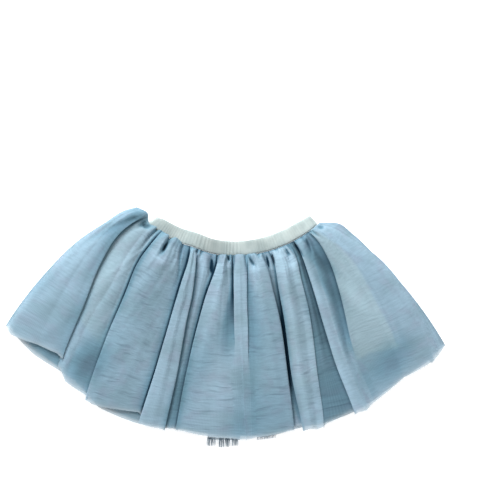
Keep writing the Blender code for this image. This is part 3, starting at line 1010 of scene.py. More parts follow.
@dataclass
class PleatedCloth:
    """A gathered layer of the skirt, front and back in one tube."""

    name: str
    finish: NetFinish
    slot: Slot
    bed: float
    back_level: float
    share: float
    laps: bool
    inset: float
    pitch: float
    steps: Row
    rows: int
    back_columns: int
    back_left: Row
    back_right: Row
    back_hem: Table
    peek: Table | None = None
    edge_level: float = 2.2
    edge_roll: float = 14.0
    flank: float = 9.0
    least_flank: float = 1.2
    under_share: float = 0.3
    lightness: float = 1.0
    swing_share: float = 0.1
    swing_lap: float = 3.0
    steep_depth: float = 0.08
    crown: float = 2.2
    crown_span: float = 25.0
    gather: float = 0.9
    gather_pitch: float = 7.5
    tuck: float = 9.0
    tuck_flank: float = 6.0
    clip: float = 1.5
    side_steps: int = 7
    plain_span: float = 20.0
    pleats: int = 23
    press: float = 0.35
    pale: float = 0.52
    pale_reach: float = 2.4
    lining_depth: float = 0.82
    lining_blur: float = 5.0
    wrinkle: float = 0.8
    fine_wrinkle: float = 0.3
    seam: Seam = Seam()
    lap_by_depth: Row = (0.0, 0.6, 1.0, 1.0, 0.9, 0.7)
    gather_by_depth: Row = (0.35, 1.0, 0.28, 0.0, 0.0, 0.0)
    counts: list[int] = field(default_factory=list)

    def place(self, fold: Fold, depth: float) -> FoldPlace:
        """A fold at a depth.

        Args:
            fold: the fold.
            depth: from 0 at the seam to 1 at the hem.

        Returns:
            Where it is, how high its sides are, and how far it laps there.
        """
        angle = FAN.along(fold.angles, depth)
        radius = FAN.radius(angle, depth, (fold.hem_left + fold.hem_right) / 2)
        if self.inset and fold is FOLDS[0]:
            angle += math.degrees(self.inset / radius)
        if self.inset and fold is FOLDS[-1]:
            angle -= math.degrees(self.inset / radius)
        strength = 1 - ease((depth - fold.ends + 0.3) / 0.3)
        middle = (fold.left + fold.right) / 2
        rise = table_value(RISE, depth) * self.share
        left = self.bed + rise * (middle + (fold.left - middle) * strength)
        right = self.bed + rise * (middle + (fold.right - middle) * strength)
        lap = fold.lap * FAN.along(self.lap_by_depth, depth) * strength if self.laps else 0.0
        return FoldPlace(angle, radius, left, right, max(lap, 0.0), strength)

    def fold_sides(self, room: tuple[float, float], lap: float, depth: float, strength: float) -> np.ndarray:
        """Sideways places of a fold's points, with its nose at 0 and the high side negative.

        Args:
            room: space to the next fold on the high and the low side.
            lap: how far the cloth goes back under itself.
            depth: from 0 at the seam to 1 at the hem.
            strength: 1 on a whole fold, 0 where it has died out.

        Returns:
            Millimetres across, one for each step.
        """
        steps = np.asarray(self.steps)
        high_room, low_room = room
        if not self.laps:
            flank = min(self.tuck_flank, 0.15 * high_room)
            return flank * (2 * steps - 1) - min(self.tuck, 0.3 * high_room)
        lap = min(lap, 0.3 * high_room)
        low = min(self.flank, max(0.4 * low_room, self.least_flank))
        high = min(self.flank, max(0.45 * high_room - lap, self.least_flank))
        swing = lap / 2 + self.swing_share * (low + high) / 2 * min(1.0, lap / self.swing_lap)
        steep = min(1.0, depth / self.steep_depth) * strength
        flank = np.where(steps < 0.5, high, low)
        curve = flank * (2 * steps - 1) + (steep * flank / math.pi + swing) * np.sin(2 * math.pi * steps)
        nose = curve[steps <= 0.5].max() if lap > 0 else 0.0
        return curve - nose

    def over_fold(self, index: int, here: list[FoldPlace], gaps: list[float], depth: float) -> list[Column]:
        """The cloth over one edge: high side, nose, back under itself, then the low side.

        Args:
            index: the fold's place in the table.
            here: every fold at this depth.
            gaps: distances between the folds.
            depth: from 0 at the seam to 1 at the hem.

        Returns:
            The columns, from left to right.
        """
        fold, before, at = FOLDS[index], FOLDS[index - 1], here[index]
        high_left = fold.left >= fold.right
        room = (gaps[index - 1], gaps[index]) if high_left else (gaps[index], gaps[index - 1])
        sides = self.fold_sides(room, at.lap, depth, at.strength)
        high, low = (at.left, at.right) if high_left else (at.right, at.left)
        nose = int(np.argmax(sides[: len(sides) // 2]))
        columns = []
        for i, (t, side) in enumerate(zip(self.steps, sides)):
            share = t if high_left else 1 - t
            turn = at.angle + math.degrees((side if high_left else -side) / at.radius)
            low_share = ease((t - 0.62) / 0.34)
            hem_share = low_share if high_left else 1 - low_share
            hem = fold.hem_left + (fold.hem_right - fold.hem_left) * hem_share
            look = before.look.mixed(fold.look, ease(share))
            # Painted highlight near the nose on the high side, and painted shade on the low side below it.
            if i <= nose:
                look = replace(look, tone=look.tone * fold.foot.lighten(side, depth))
            shade = fold.foot.shade(side, depth) * at.strength if i > nose else 0.0
            columns.append(Column(turn, hem, high + (low - high) * ease(t), look, shade))
        return columns if high_left else columns[::-1]

    @staticmethod
    def edge_effect(index: int, at: FoldPlace, angle: float, depth: float) -> tuple[float, float]:
        """What a neighbouring edge does to a place between the folds.

        Args:
            index: the fold's place in the table.
            at: that fold at this depth.
            angle: the place's angle.
            depth: from 0 at the seam to 1 at the hem.

        Returns:
            The painted shade there, and the factor on its lightness from the edge's painted highlight.
        """
        fold = FOLDS[index]
        if not fold.lap:
            return 0.0, 1.0
        away = math.radians(angle - at.angle) * at.radius
        low_right = fold.left >= fold.right
        if (away > 0) == low_right:
            return fold.foot.shade(abs(away), depth) * at.strength, 1.0
        return 0.0, fold.foot.lighten(abs(away), depth)

    def at_side(self, index: int, here: list[FoldPlace], roll: float) -> list[Column]:
        """The rolled side of the tube, from just above the back panel up onto the front.

        Args:
            index: the side fold's place in the table.
            here: every fold at this depth.
            roll: how far the rolled edge reaches onto the front, in millimetres.

        Returns:
            The columns, from left to right.
        """
        fold, at = FOLDS[index], here[index]
        sign = 1 if index == 0 else -1
        columns = []
        for i in range(self.side_steps + 1):
            turn = i / self.side_steps * math.pi / 2
            height = self.edge_level + (at.left - self.edge_level) * math.sin(turn)
            side = roll * (1 - math.cos(turn))
            angle = at.angle + sign * math.degrees(side / at.radius)
            columns.append(Column(angle, fold.hem_left, height, fold.look))
        return columns if sign > 0 else columns[::-1]

    def between(
        self, index: int, start: Column, end: Column, here: list[FoldPlace], depth: float
    ) -> list[Column]:
        """The cloth between two folds: a soft crown, with small gathers below the waist.

        Args:
            index: number of the left fold.
            start: the last column of the left fold.
            end: the first column of the right fold.
            here: every fold at this depth.
            depth: from 0 at the seam to 1 at the hem.

        Returns:
            The columns, from left to right.
        """
        fold, at, after = FOLDS[index], here[index], here[index + 1]
        count = self.counts[index]
        span = math.radians(end.angle - start.angle) * at.radius
        seam_span = math.radians(FOLDS[index + 1].angles[0] - fold.angles[0]) * FAN.seam_radius(start.angle)
        crown = self.crown * table_value(RISE, depth) * min(1.0, span / self.crown_span)
        waves = max(1, round(seam_span / self.gather_pitch))
        gather = self.gather * FAN.along(self.gather_by_depth, depth) * min(1.0, seam_span / waves / 4.0)
        if not self.laps:
            crown = gather = 0.0
        if seam_span < self.plain_span:
            gather = 0.0
        columns = []
        for i in range(1, count + 1):
            t = i / (count + 1)
            level = start.level + (end.level - start.level) * ease(t) + crown * 4 * t * (1 - t)
            reach = 0.6 + 0.4 * math.sin(3.1 * int(t * waves) + 1.7 * index)
            level += gather * reach * math.sin(math.pi * t * waves) ** 2
            turn = start.angle + (end.angle - start.angle) * t
            # Painted shade and highlight from the edges on either side.
            left_shade, left_light = self.edge_effect(index, at, turn, depth)
            right_shade, right_light = self.edge_effect(index + 1, after, turn, depth)
            look = replace(fold.look, tone=fold.look.tone * left_light * right_light)
            hem = start.hem + (end.hem - start.hem) * t
            columns.append(Column(turn, hem, level, look, left_shade + right_shade))
        return columns

    def front_row(self, depth: float) -> list[Column]:
        """One row of the front across the fan.

        Args:
            depth: from 0 at the seam to 1 at the hem.

        Returns:
            The columns, from left to right.
        """
        here = [self.place(fold, depth) for fold in FOLDS]
        if self.inset:
            first, last = here[0].angle + self.clip, here[-1].angle - self.clip
            inner = [replace(one, angle=min(max(one.angle, first), last)) for one in here[1:-1]]
            here = [here[0], *inner, here[-1]]
        gaps = [math.radians(b.angle - a.angle) * (a.radius + b.radius) / 2 for a, b in zip(here, here[1:])]
        last = len(FOLDS) - 1
        rolls = {0: min(self.edge_roll, 0.5 * gaps[0]), last: min(self.edge_roll, 0.5 * gaps[-1])}
        strips = []
        for i, fold in enumerate(FOLDS):
            if i in rolls:
                strips.append(self.at_side(i, here, rolls[i]))
            elif fold.lap:
                strips.append(self.over_fold(i, here, gaps, depth))
            else:
                look = FOLDS[i - 1].look.mixed(fold.look, 0.5)
                strips.append([Column(here[i].angle, fold.hem_left, here[i].left, look)])
        row = []
        for i, strip in enumerate(strips):
            row += strip
            if i < last:
                row += self.between(i, strip[-1], strips[i + 1][0], here, depth)
        return row

    def back_row(self, depth: float, front: list[Column]) -> list[Column]:
        """The back of the row, from the right side to the left, with pressed pleats.

        Args:
            depth: from 0 at the seam to 1 at the hem.
            front: the front's columns in that row.

        Returns:
            The back's columns.
        """
        left, right = FAN.along(self.back_left, depth), FAN.along(self.back_right, depth)
        rim_level = (self.edge_level + self.back_level) / 2
        last = front[-1]
        columns = [
            Column((last.angle + right) / 2, last.hem, rim_level + 0.3),
            Column(right, last.hem, rim_level),
        ]
        for i in range(self.back_columns):
            t = i / (self.back_columns - 1)
            hem_angle = self.back_right[-1] + (self.back_left[-1] - self.back_right[-1]) * t
            fold = (t * self.pleats) % 1.0
            level = self.back_level + self.press * (ease(fold / 0.85) - ease((fold - 0.85) / 0.15)) - 0.1
            columns.append(Column(right + (left - right) * t, table_value(self.back_hem, hem_angle), level))
        return columns

    def weave(self) -> Weave:
        """Lays out every row of the tube.

        Returns:
            The polar places of all points, and the values that the finish reads.
        """
        self.counts = []
        for one, two in zip(FOLDS, FOLDS[1:]):
            span = abs(FAN.along(two.angles, 0.5) - FAN.along(one.angles, 0.5))
            self.counts.append(max(3, round(math.radians(span) * 172.0 / self.pitch)))
        hem_row = self.front_row(1.0)
        front = len(hem_row)
        places, looks, shade, from_hem = [], [], [], []
        for i in range(self.rows):
            depth = (i / (self.rows - 1)) ** 1.3
            row = self.front_row(depth)
            row += self.back_row(depth, row)
            hems = [column.hem for column in row]
            if self.peek:
                hems[:front] = [table_value(self.peek, column.angle) for column in hem_row]
            hems = [hem + self.raw_edge(j) for j, hem in enumerate(hems)]
            radii = [FAN.radius(column.angle, depth, hem, self.laps) for column, hem in zip(row, hems)]
            places.append([(column.angle, radius, column.level) for column, radius in zip(row, radii)])
            over = [self.over_lining(column.angle, radius, depth) for column, radius in zip(row, radii)]
            looks.append([
                (one.look.tone * self.lightness, one.look.lined * share, one.look.slub)
                for one, share in zip(row, over)
            ])
            shade.append([column.shade if self.laps else 0.0 for column in row])
            from_hem.append([hem - radius for hem, radius in zip(hems, radii)])
        tone, lined, slub = np.moveaxis(np.asarray(looks), -1, 0)
        return Weave(np.asarray(places), tone, lined, slub, np.asarray(shade), np.asarray(from_hem), front)

    def build(self) -> bpy.types.Object:
        """Makes the tube's mesh.

        Returns:
            The tube, with its cloth, tone, lined, shade and pale values.
        """
        weave = self.weave()
        cloth = self.cloth_places(weave.places)
        if self.laps:
            self.gather_waist(weave)
            self.soften(weave)
        return sheet_mesh(self.name, self.to_row_frame(weave.places), True, self.looks(weave, cloth))

    def looks(self, weave: Weave, cloth: np.ndarray) -> dict[str, np.ndarray]:
        """The values that the net's finish reads at every point.

        Args:
            weave: the tube's points.
            cloth: their places in the flat cloth.

        Returns:
            The values by name.
        """
        return {
            "cloth": cloth,
            "tone": weave.tone,
            "lined": weave.lined,
            "slub": weave.slub,
            "shade": np.clip(weave.shade, 0.0, 1.0),
            "pale": self.pale * np.exp(-np.maximum(weave.from_hem, 0.0) / self.pale_reach),
        }

    @staticmethod
    def to_row_frame(places: np.ndarray) -> np.ndarray:
        """Polar places as points.

        Args:
            places: angles in degrees, radii and levels in millimetres.

        Returns:
            The points in metres.
        """
        turn = np.radians(places[..., 0])
        x = FAN.centre[0] + places[..., 1] * np.sin(turn)
        y = FAN.centre[1] - places[..., 1] * np.cos(turn)
        return np.stack([x, y, places[..., 2]], axis=-1) * MM

    @staticmethod
    def raw_edge(column: int) -> float:
        """Small unevenness of the cut hem, in millimetres."""
        slow = noise.noise(Vector((column * 0.06, 3.0, 1.0)))
        return 0.9 * slow + 0.4 * noise.noise(Vector((column * 0.5, 7.0, 2.0)))

    def over_lining(self, angle: float, radius: float, depth: float) -> float:
        """How much a place lies over the lining.

        Args:
            angle: the place's angle.
            radius: its distance from the fan's centre.
            depth: from 0 at the seam to 1 at the hem.

        Returns:
            1 over the lining and 0 past its hem and side.
        """
        side = FAN.along(LINING_RIGHT, min(depth / self.lining_depth, 1.0))
        inside = ease((table_value(LINING_HEM, angle) - radius) / self.lining_blur + 0.5)
        return inside * ease((side - angle) * math.radians(radius) / self.lining_blur + 0.5)

    @staticmethod
    def below_seam(angle: np.ndarray, radius: np.ndarray) -> np.ndarray:
        """Distance of each place below the waist seam."""
        return np.maximum(radius - np.vectorize(FAN.seam_radius)(angle), 0.0)

    @staticmethod
    def groove_depth(groove: Groove, angle: np.ndarray, radius: np.ndarray, below: np.ndarray) -> np.ndarray:
        """How deep a groove is at each place.

        Args:
            groove: the groove.
            angle: the places' angles.
            radius: their distances from the fan's centre.
            below: their distances below the waist seam.

        Returns:
            The depth, from 0 to 1.
        """
        run = np.clip(below / (groove.top + groove.length), 0.0, 1.0)
        across = np.radians(angle - groove.start - (groove.end - groove.start) * run) * radius
        reach = np.where(below < groove.top, 0.6 * groove.top + 1.5, groove.length)
        return np.exp(-((across / groove.wide) ** 2) - ((below - groove.top) / reach) ** 2)

    def gather_waist(self, weave: Weave) -> None:
        """Turns the seam into puffs parted by grooves, some of them lapping over the band, and paints shade
        into the grooves and along the seam.

        Args:
            weave: the tube's points, which are changed.
        """
        seam = self.seam
        front, shade = weave.places[:, : weave.front], weave.shade[:, : weave.front]
        angle, radius, level = (front[..., i].copy() for i in range(3))
        below = self.below_seam(angle, radius)
        puff = np.ones_like(angle)
        free = np.clip((level - self.bed + 2.0) / 5.0, 0.25, 1.0)
        for groove in GROOVES:
            depth = self.groove_depth(groove, angle, radius, below)
            front[..., 2] -= groove.fall * depth * free
            core = np.clip((depth - 0.30) / 0.45, 0.0, 1.0)
            # Painted shade in the groove.
            shade += groove.dark * (0.8 * core * core * (3 - 2 * core) + 0.2 * depth)
            puff *= 1 - 0.9 * depth
        overlap = np.interp(angle, *zip(*OVERLAP)) * puff
        over, up = below / seam.overlap_reach, below / seam.puff_reach
        front[..., 1] -= overlap * over * np.exp(1 - over)
        front[..., 2] += seam.puff_rise * (puff - 0.4) * up * np.exp(1 - up) * free
        # Painted shadow line under the band's lower edge, where the puffs don't lap over it.
        line = np.exp(-((below / seam.line_wide) ** 2)) * (np.abs(angle) < seam.line_span)
        shade += seam.line_dark * line * np.clip(1.2 - overlap / seam.overlap_reach, 0.0, 1.0)
        # Painted shade just below the seam.
        weave.tone[:, : weave.front] *= 1 - seam.dim * np.exp(-((below / seam.dim_reach) ** 2))
        floor = self.bed - 0.6 + self.under_share * np.maximum(level - self.bed, 0.0)
        np.maximum(front[..., 2], floor, out=front[..., 2])

    def soften(self, weave: Weave) -> None:
        """Adds soft swells and wrinkles to the front, and the patches' changes of tone, partly painted shade
        and highlight.

        Args:
            weave: the tube's points, which are changed.
        """
        front = weave.places[:, : weave.front]
        angle, radius, level = front[..., 0], front[..., 1], front[..., 2]
        for patch in PATCHES:
            across = np.radians(angle - patch.angle) * radius
            swell = np.exp(-((across / patch.wide) ** 2) - ((radius - patch.radius) / patch.long) ** 2)
            level += patch.rise * swell
            # Painted shade and highlight from the patch, partly the cloth's own tone.
            weave.tone[:, : weave.front] *= 1 + patch.tone * swell
        below = self.below_seam(angle, radius)
        free = np.clip(below / 50.0, 0.0, 1.0) * np.clip((level - self.bed + 1.0) / 4.0, 0.0, 1.0)
        for i, j in np.ndindex(level.shape):
            here = Vector((angle[i, j] * 0.30, radius[i, j] * 0.010, 5.0))
            relief = noise.noise(here) * self.wrinkle + noise.noise(here * 2.6) * self.fine_wrinkle
            level[i, j] += relief * free[i, j]

    def cloth_places(self, places: np.ndarray) -> np.ndarray:
        """Each point's place in the flat cloth, whose threads lie between level lines and the fan's arcs.

        Args:
            places: the points' angles, radii and levels.

        Returns:
            The places across and down the cloth, in metres.
        """
        middle = places[places.shape[0] // 2]
        turn = np.radians(middle[:, 0])
        x, y = middle[:, 1] * np.sin(turn), -middle[:, 1] * np.cos(turn)
        step = np.sqrt(np.diff(x) ** 2 + np.diff(y) ** 2 + np.diff(middle[:, 2]) ** 2)
        across = np.broadcast_to(np.concatenate([[0.0], np.cumsum(step)]), places.shape[:2])
        drop = places[..., 1] * np.cos(np.radians(places[..., 0]))
        down = 0.5 * places[..., 1] + 0.5 * drop
        return np.stack([across * MM, down * MM, np.zeros_like(down)], axis=-1)


OUTER = PleatedCloth(
    name="outer_tulle",
    finish=NetFinish("outer_net"),
    slot=Slot.OUTER,
    bed=7.2,
    back_level=0.5,
    share=1.0,
    laps=True,
    inset=0.0,
    pitch=2.0,
    steps=FOLD_STEPS,
    rows=104,
    back_columns=170,
    back_left=(-76.5, -76.0, -73.6, -70.0, -64.8, -58.0),
    back_right=(69.0, 71.8, 69.5, 64.7, 60.0, 53.8),
    back_hem=(
        (-58, 352), (-50, 340), (-40, 332), (-15, 331), (2, 334), (25, 339), (40, 342), (50, 354), (54, 359),
    ),
)

UNDER = PleatedCloth(
    name="under_tulle",
    finish=NetFinish("under_net", solid=0.97, hole=0.15, hem_cover=0.5),
    slot=Slot.UNDER,
    bed=5.9,
    back_level=2.0,
    share=0.25,
    laps=False,
    inset=11.0,
    pitch=5.0,
    steps=(0.0, 0.2, 0.4, 0.6, 0.8, 1.0),
    rows=60,
    back_columns=90,
    # Painted shade: the whole under layer is darkened, as it lies in the outer layer's shade.
    lightness=0.60,
    edge_level=4.0,
    back_left=(-67.0, -66.0, -66.0, -64.0, -60.0, -54.0),
    back_right=(64.0, 63.0, 62.0, 60.0, 55.0, 49.0),
    back_hem=((-54, 340), (-40, 328), (0, 326), (30, 334), (49, 342)),
    peek=(
        (-56, 352), (-50, 347.5), (-46, 341.5), (-43, 337.5), (-39, 334), (-35, 338), (-31, 345),
        (-21, 341), (-15, 334), (-8, 331), (5, 335), (7.5, 339), (12, 338), (16, 330), (20, 340),
        (29, 345), (37.5, 345), (42, 346), (48, 353), (52, 356),
    ),
)


@dataclass
class Lining:
    """The short jersey lining, a flat tube between the net layers."""

    left: Row = (-66.0, -64.0, -62.0, -60.0, -56.0, -50.0)
    levels: tuple[float, float] = (4.6, 3.3)
    columns: int = 90
    rows: int = 48
    wave: float = 0.12
    cloth_width: float = 0.45
    finish: JerseyFinish = JerseyFinish()

    def build(self) -> bpy.types.Object:
        """Makes the lining's mesh, front and back joined at the sides.

        Returns:
            The flat tube.
        """
        grid, cloth = [], []
        for i in range(self.rows):
            depth = i / (self.rows - 1)
            left, right = FAN.along(self.left, depth), FAN.along(LINING_RIGHT, depth)
            row, places = [], []
            for side, level in enumerate(self.levels):
                for j in range(self.columns):
                    t = j / (self.columns - 1)
                    t = t if side == 0 else 1 - t
                    angle = left + (right - left) * t
                    hem_angle = self.left[-1] + (LINING_RIGHT[-1] - self.left[-1]) * t
                    radius = FAN.radius(angle, depth, table_value(LINING_HEM, hem_angle))
                    row.append(FAN.spot(angle, radius, level + self.wave * math.sin(t * 60.0)))
                    places.append((t * self.cloth_width + side, radius * MM, 0.0))
            grid.append(row)
            cloth.append(places)
        return sheet_mesh("jersey_lining", grid, True, {"cloth": np.asarray(cloth)})

    def make(self) -> None:
        piece = self.build()
        dress(piece, self.finish.material(), Slot.LINING, "lining_front", "lining_back")


@dataclass
class Waistband:
    """The elastic in its knit casing: one flat loop, puckered where the elastic draws it in."""

    height: float = 19.5
    ends: tuple[float, float] = (-41.0, 40.0)
    shrink: float = 0.22
    shrink_power: float = 8.0
    front_middle: float = 5.9
    back_middle: float = 1.75
    thick_front: float = 4.2
    thick_back: float = 3.3
    puckers: int = 58
    rise: float = 0.30
    stations: int = 520
    turn_stations: int = 10
    around: int = 22
    lightness: Table = (
        (-41, 1.10), (-36, 0.88), (-31, 0.79), (-23, 1.10), (-17, 0.90), (-10, 0.70), (2, 0.97), (12, 0.91),
        (24, 1.15), (30, 1.02), (37, 1.25), (40, 1.18),
    )
    station_step: float = 0.45
    end_skew: float = 2.0
    finish: BandFinish = BandFinish()

    def path(self) -> list[tuple[float, float, float, float]]:
        """The loop's middle line.

        Returns:
            For each station its angle on the band's arc, level, tilt of the outside in degrees from
            straight up, and distance past the band's end.
        """
        left, right = self.ends
        half = (self.front_middle - self.back_middle) / 2
        middle = (self.front_middle + self.back_middle) / 2
        line = []
        for i in range(self.stations):
            line.append((left + (right - left) * i / (self.stations - 1), self.front_middle, 0.0, 0.0))
        for i in range(1, self.turn_stations):
            turn = 180.0 * i / self.turn_stations
            reach = half * math.sin(math.radians(turn)) * 0.5
            line.append((right, middle + half * math.cos(math.radians(turn)), turn, reach))
        back = self.stations // 3
        for i in range(back):
            line.append((right + (left - right) * i / (back - 1), self.back_middle, 180.0, 0.0))
        for i in range(1, self.turn_stations):
            turn = 180.0 - 180.0 * i / self.turn_stations
            reach = half * math.sin(math.radians(turn)) * 0.5
            line.append((left, middle + half * math.cos(math.radians(turn)), turn, -reach))
        return line

    def pucker(self, place: float) -> float:
        """Relief of the gathered knit.

        Args:
            place: from 0 at the front's left end to 1 at its right end.

        Returns:
            The relief, from about -1 to 1.
        """
        sway = noise.noise(Vector((place * 7.0, 2.0, 4.0)))
        wave = math.sin(2 * math.pi * (self.puckers * place + 2.4 * sway))
        finer = math.sin(2 * math.pi * (2.3 * self.puckers * place + 1.7 * sway))
        patch = min(max(noise.noise(Vector((place * 11.0, 8.0, 1.0))) * 1.5 + 0.45, 0.12), 1.0)
        return (wave + 0.4 * finer) * patch

    def build(self) -> bpy.types.Object:
        """Makes the band's closed mesh.

        Returns:
            The band.
        """
        rings = [self.ring(index, *station) for index, station in enumerate(self.path())]
        rings.append(rings[0])
        grid, cloth, tones = zip(*rings)
        values = {"cloth": np.asarray(cloth), "tone": np.asarray(tones)}
        piece = sheet_mesh("waistband", grid, True, values)
        self.close_loop(piece)
        return piece

    def ring(self, index: int, angle: float, level: float, tilt: float, reach: float) -> tuple[list, ...]:
        """One ring of points around the band.

        Args:
            index: the station's number.
            angle: its angle on the band's arc.
            level: height of the loop's middle line.
            tilt: the outside's tilt from straight up, in degrees.
            reach: distance past the band's end.

        Returns:
            The ring's points, their places in the flat knit, and their lightness.
        """
        front = index < self.stations
        relief = self.pucker(index / (self.stations - 1)) if front else 0.25 * math.sin(index * 1.9)
        facing = 1 + math.cos(math.radians(tilt))
        thick = self.thick_back + (self.thick_front - self.thick_back) * facing / 2
        height = self.height * (1 - self.shrink * abs(angle / self.ends[0]) ** self.shrink_power)
        row, places, tones = [], [], []
        for k in range(self.around):
            turn = 2 * math.pi * k / self.around
            flat = 0.5 + 0.5 * np.sign(math.cos(turn)) * abs(math.cos(turn)) ** 0.45
            bulge = np.sign(math.sin(turn)) * abs(math.sin(turn)) ** 0.6
            outside = max(bulge, 0.0)
            swell = self.rise * relief * outside * (0.55 + 0.45 * math.sin(math.pi * flat))
            across = height * flat + 0.25 * relief * (2 * flat - 1)
            row.append(self.point(angle, across, level, thick / 2 * bulge + swell, tilt, reach))
            places.append((index * self.station_step * MM, across * MM, 0.0))
            tones.append(self.tone(angle, relief, outside, flat))
        return row, places, tones

    def tone(self, angle: float, relief: float, outside: float, flat: float) -> float:
        """Lightness of the band's knit at a place.

        Args:
            angle: the place's angle on the band's arc.
            relief: the pucker's relief there.
            outside: 1 on the outer face and 0 inside.
            flat: 0 at the lower edge and 1 at the upper edge.

        Returns:
            A factor on the knit's colour.
        """
        lightness = table_value(self.lightness, angle)
        # Painted light and shade on the outer face's puckers, painted shade on the inner face, painted
        # highlight on the upper edge.
        return lightness * (1.0 + 0.05 * relief * outside - 0.10 * (1 - outside) + 0.10 * flat**4)

    def point(
        self, angle: float, across: float, level: float, lift: float, tilt: float, reach: float
    ) -> Point:
        """A point of the band.

        Args:
            angle: its angle on the band's arc.
            across: its distance from the band's lower edge.
            level: height of the loop's middle line.
            lift: distance from that line towards the outside.
            tilt: the outside's tilt from straight up, in degrees.
            reach: distance past the band's end.

        Returns:
            The point in metres.
        """
        near_end = math.exp(-(((angle - self.ends[0]) / 2.5) ** 2))
        turn = math.radians(angle + self.end_skew * near_end * across / self.height)
        lean = math.radians(tilt)
        radius = FAN.seam - across - FAN.swell(angle)
        side = reach + lift * math.sin(lean) * (1 if angle > 0 else -1)
        x = FAN.band_centre[0] + radius * math.sin(turn) + side * math.cos(turn)
        y = FAN.band_centre[1] - radius * math.cos(turn) + side * math.sin(turn)
        return (x * MM, y * MM, (level + lift * math.cos(lean)) * MM)

    @staticmethod
    def close_loop(piece: bpy.types.Object) -> None:
        """Welds the loop's last ring to its first."""
        weld = piece.modifiers.new("join_ends", "WELD")
        weld.merge_threshold = 0.00002

    def make(self) -> None:
        piece = self.build()
        dress(piece, self.finish.material(), Slot.WAISTBAND, "waistband_front", "waistband_back")


@dataclass
class Strands:
    """Thin bent threads as three-sided tubes in one mesh."""

    name: str
    sides: int = 3
    segments: int = 4
    points: list[Point] = field(default_factory=list)
    faces: list[tuple[int, ...]] = field(default_factory=list)

    def add(self, root: Vector, tip: Vector, bend: Vector, thick: float) -> None:
        """Adds one thread.

        Args:
            root: its root.
            tip: its tip.
            bend: how far its middle leaves the straight line.
            thick: its radius at the root.
        """
        along = (tip - root).normalized()
        side = along.cross(Vector((0.0, 0.0, 1.0))).normalized()
        up = side.cross(along)
        first = len(self.points)
        for i in range(self.segments + 1):
            t = i / self.segments
            middle = root.lerp(tip, t) + bend * math.sin(math.pi * t)
            radius = thick * (1 - 0.55 * t)
            for k in range(self.sides):
                turn = 2 * math.pi * k / self.sides + math.pi / 2
                point = middle + side * math.cos(turn) * radius + up * math.sin(turn) * radius
                self.points.append(tuple(point))
        for i in range(self.segments):
            for k in range(self.sides):
                here = first + i * self.sides + k
                other = first + i * self.sides + (k + 1) % self.sides
                self.faces.append((here, other, other + self.sides, here + self.sides))
        last = first + self.segments * self.sides
        self.faces.append(tuple(range(first + self.sides - 1, first - 1, -1)))
        self.faces.append(tuple(range(last, last + self.sides)))

    def build(self) -> bpy.types.Object:
        """Makes the joined mesh.

        Returns:
            The threads.
        """
        mesh = bpy.data.meshes.new(self.name)
        mesh.from_pydata(self.points, [], self.faces)
        mesh.shade_smooth()
        made = bpy.data.objects.new(self.name, mesh)
        bpy.context.scene.collection.objects.link(made)
        return made


@dataclass
class FrayedHem:
    """The frayed tab at the hem's middle: a strip of net whose crosswise threads are gone."""

    clumps: tuple[tuple[float, float, int, float], ...] = (
        (-4.5, 1.5, 36, 11.0),
        (-3.3, 0.8, 5, 10.0),
        (-2.1, 1.1, 30, 12.0),
        (-0.72, 1.0, 28, 11.0),
        (0.88, 1.4, 30, 9.5),
        (8.2, 4.2, 56, 2.4),
    )
    strip_angles: tuple[float, float] = (-5.3, 2.1)
    strip_radii: tuple[float, float] = (332.0, 340.2)
    level: float = 0.9
    thick: float = 0.27
    strip_rows: int = 7
    strip_columns: int = 61

    def build(self) -> bpy.types.Object:
        """Makes the strip's threads.

        Returns:
            One mesh of threads.
        """
        threads = Strands("frayed_threads")
        number = 0
        for middle, width, count, reach in self.clumps:
            for i in range(count):
                number += 1
                share = i / (count - 1) - 0.5
                jitter = noise.noise(Vector((number * 1.7, 0.5, 0.0)))
                angle = middle + width * share + 0.08 * jitter
                long = reach * (0.80 + 0.30 * noise.noise(Vector((number * 0.9, 4.0, 1.0))))
                level = self.level + 0.35 * noise.noise(Vector((number * 2.3, 1.0, 7.0)))
                root = Vector(FAN.spot(angle, self.strip_radii[1] - 2.5, level))
                tip = Vector(FAN.spot(angle + 0.30 * jitter, self.strip_radii[1] + long, level - 0.15))
                bend = Vector((jitter * 0.5 * MM, 0.0, 0.1 * MM))
                threads.add(root, tip, bend, self.thick * MM * (0.8 + 0.5 * abs(jitter)))
        return threads.build()

    def strip(self) -> bpy.types.Object:
        """Makes the narrow strip of net that the threads hang from.

        Returns:
            The strip.
        """
        grid, cloth = [], []
        inner, outer = self.strip_radii
        left, right = self.strip_angles
        last_row, last_column = self.strip_rows - 1, self.strip_columns - 1
        for i in range(self.strip_rows):
            radius = inner + (outer - inner) * i / last_row
            row, places = [], []
            for j in range(self.strip_columns):
                angle = left + (right - left) * j / last_column
                edge = radius + (0.5 * noise.noise(Vector((j * 0.8, 0.0, 2.0))) if i == last_row else 0.0)
                row.append(FAN.spot(angle, edge, self.level + 0.1 * math.sin(j * 0.9)))
                places.append((math.radians(angle) * radius * MM, radius * MM, 0.0))
            grid.append(row)
            cloth.append(places)
        flat = np.zeros((self.strip_rows, self.strip_columns))
        values = {"cloth": np.asarray(cloth), "tone": flat + 1.0, "slub": flat + 0.2, "pale": flat + 0.4}
        return sheet_mesh("frayed_strip", grid, False, values)

    def make(self) -> None:
        strip, threads = self.strip(), self.build()
        dress(strip, UNDER.finish.material(), Slot.UNDER, "frayed_hem")
        dress(threads, ThreadFinish().material(), Slot.UNDER)


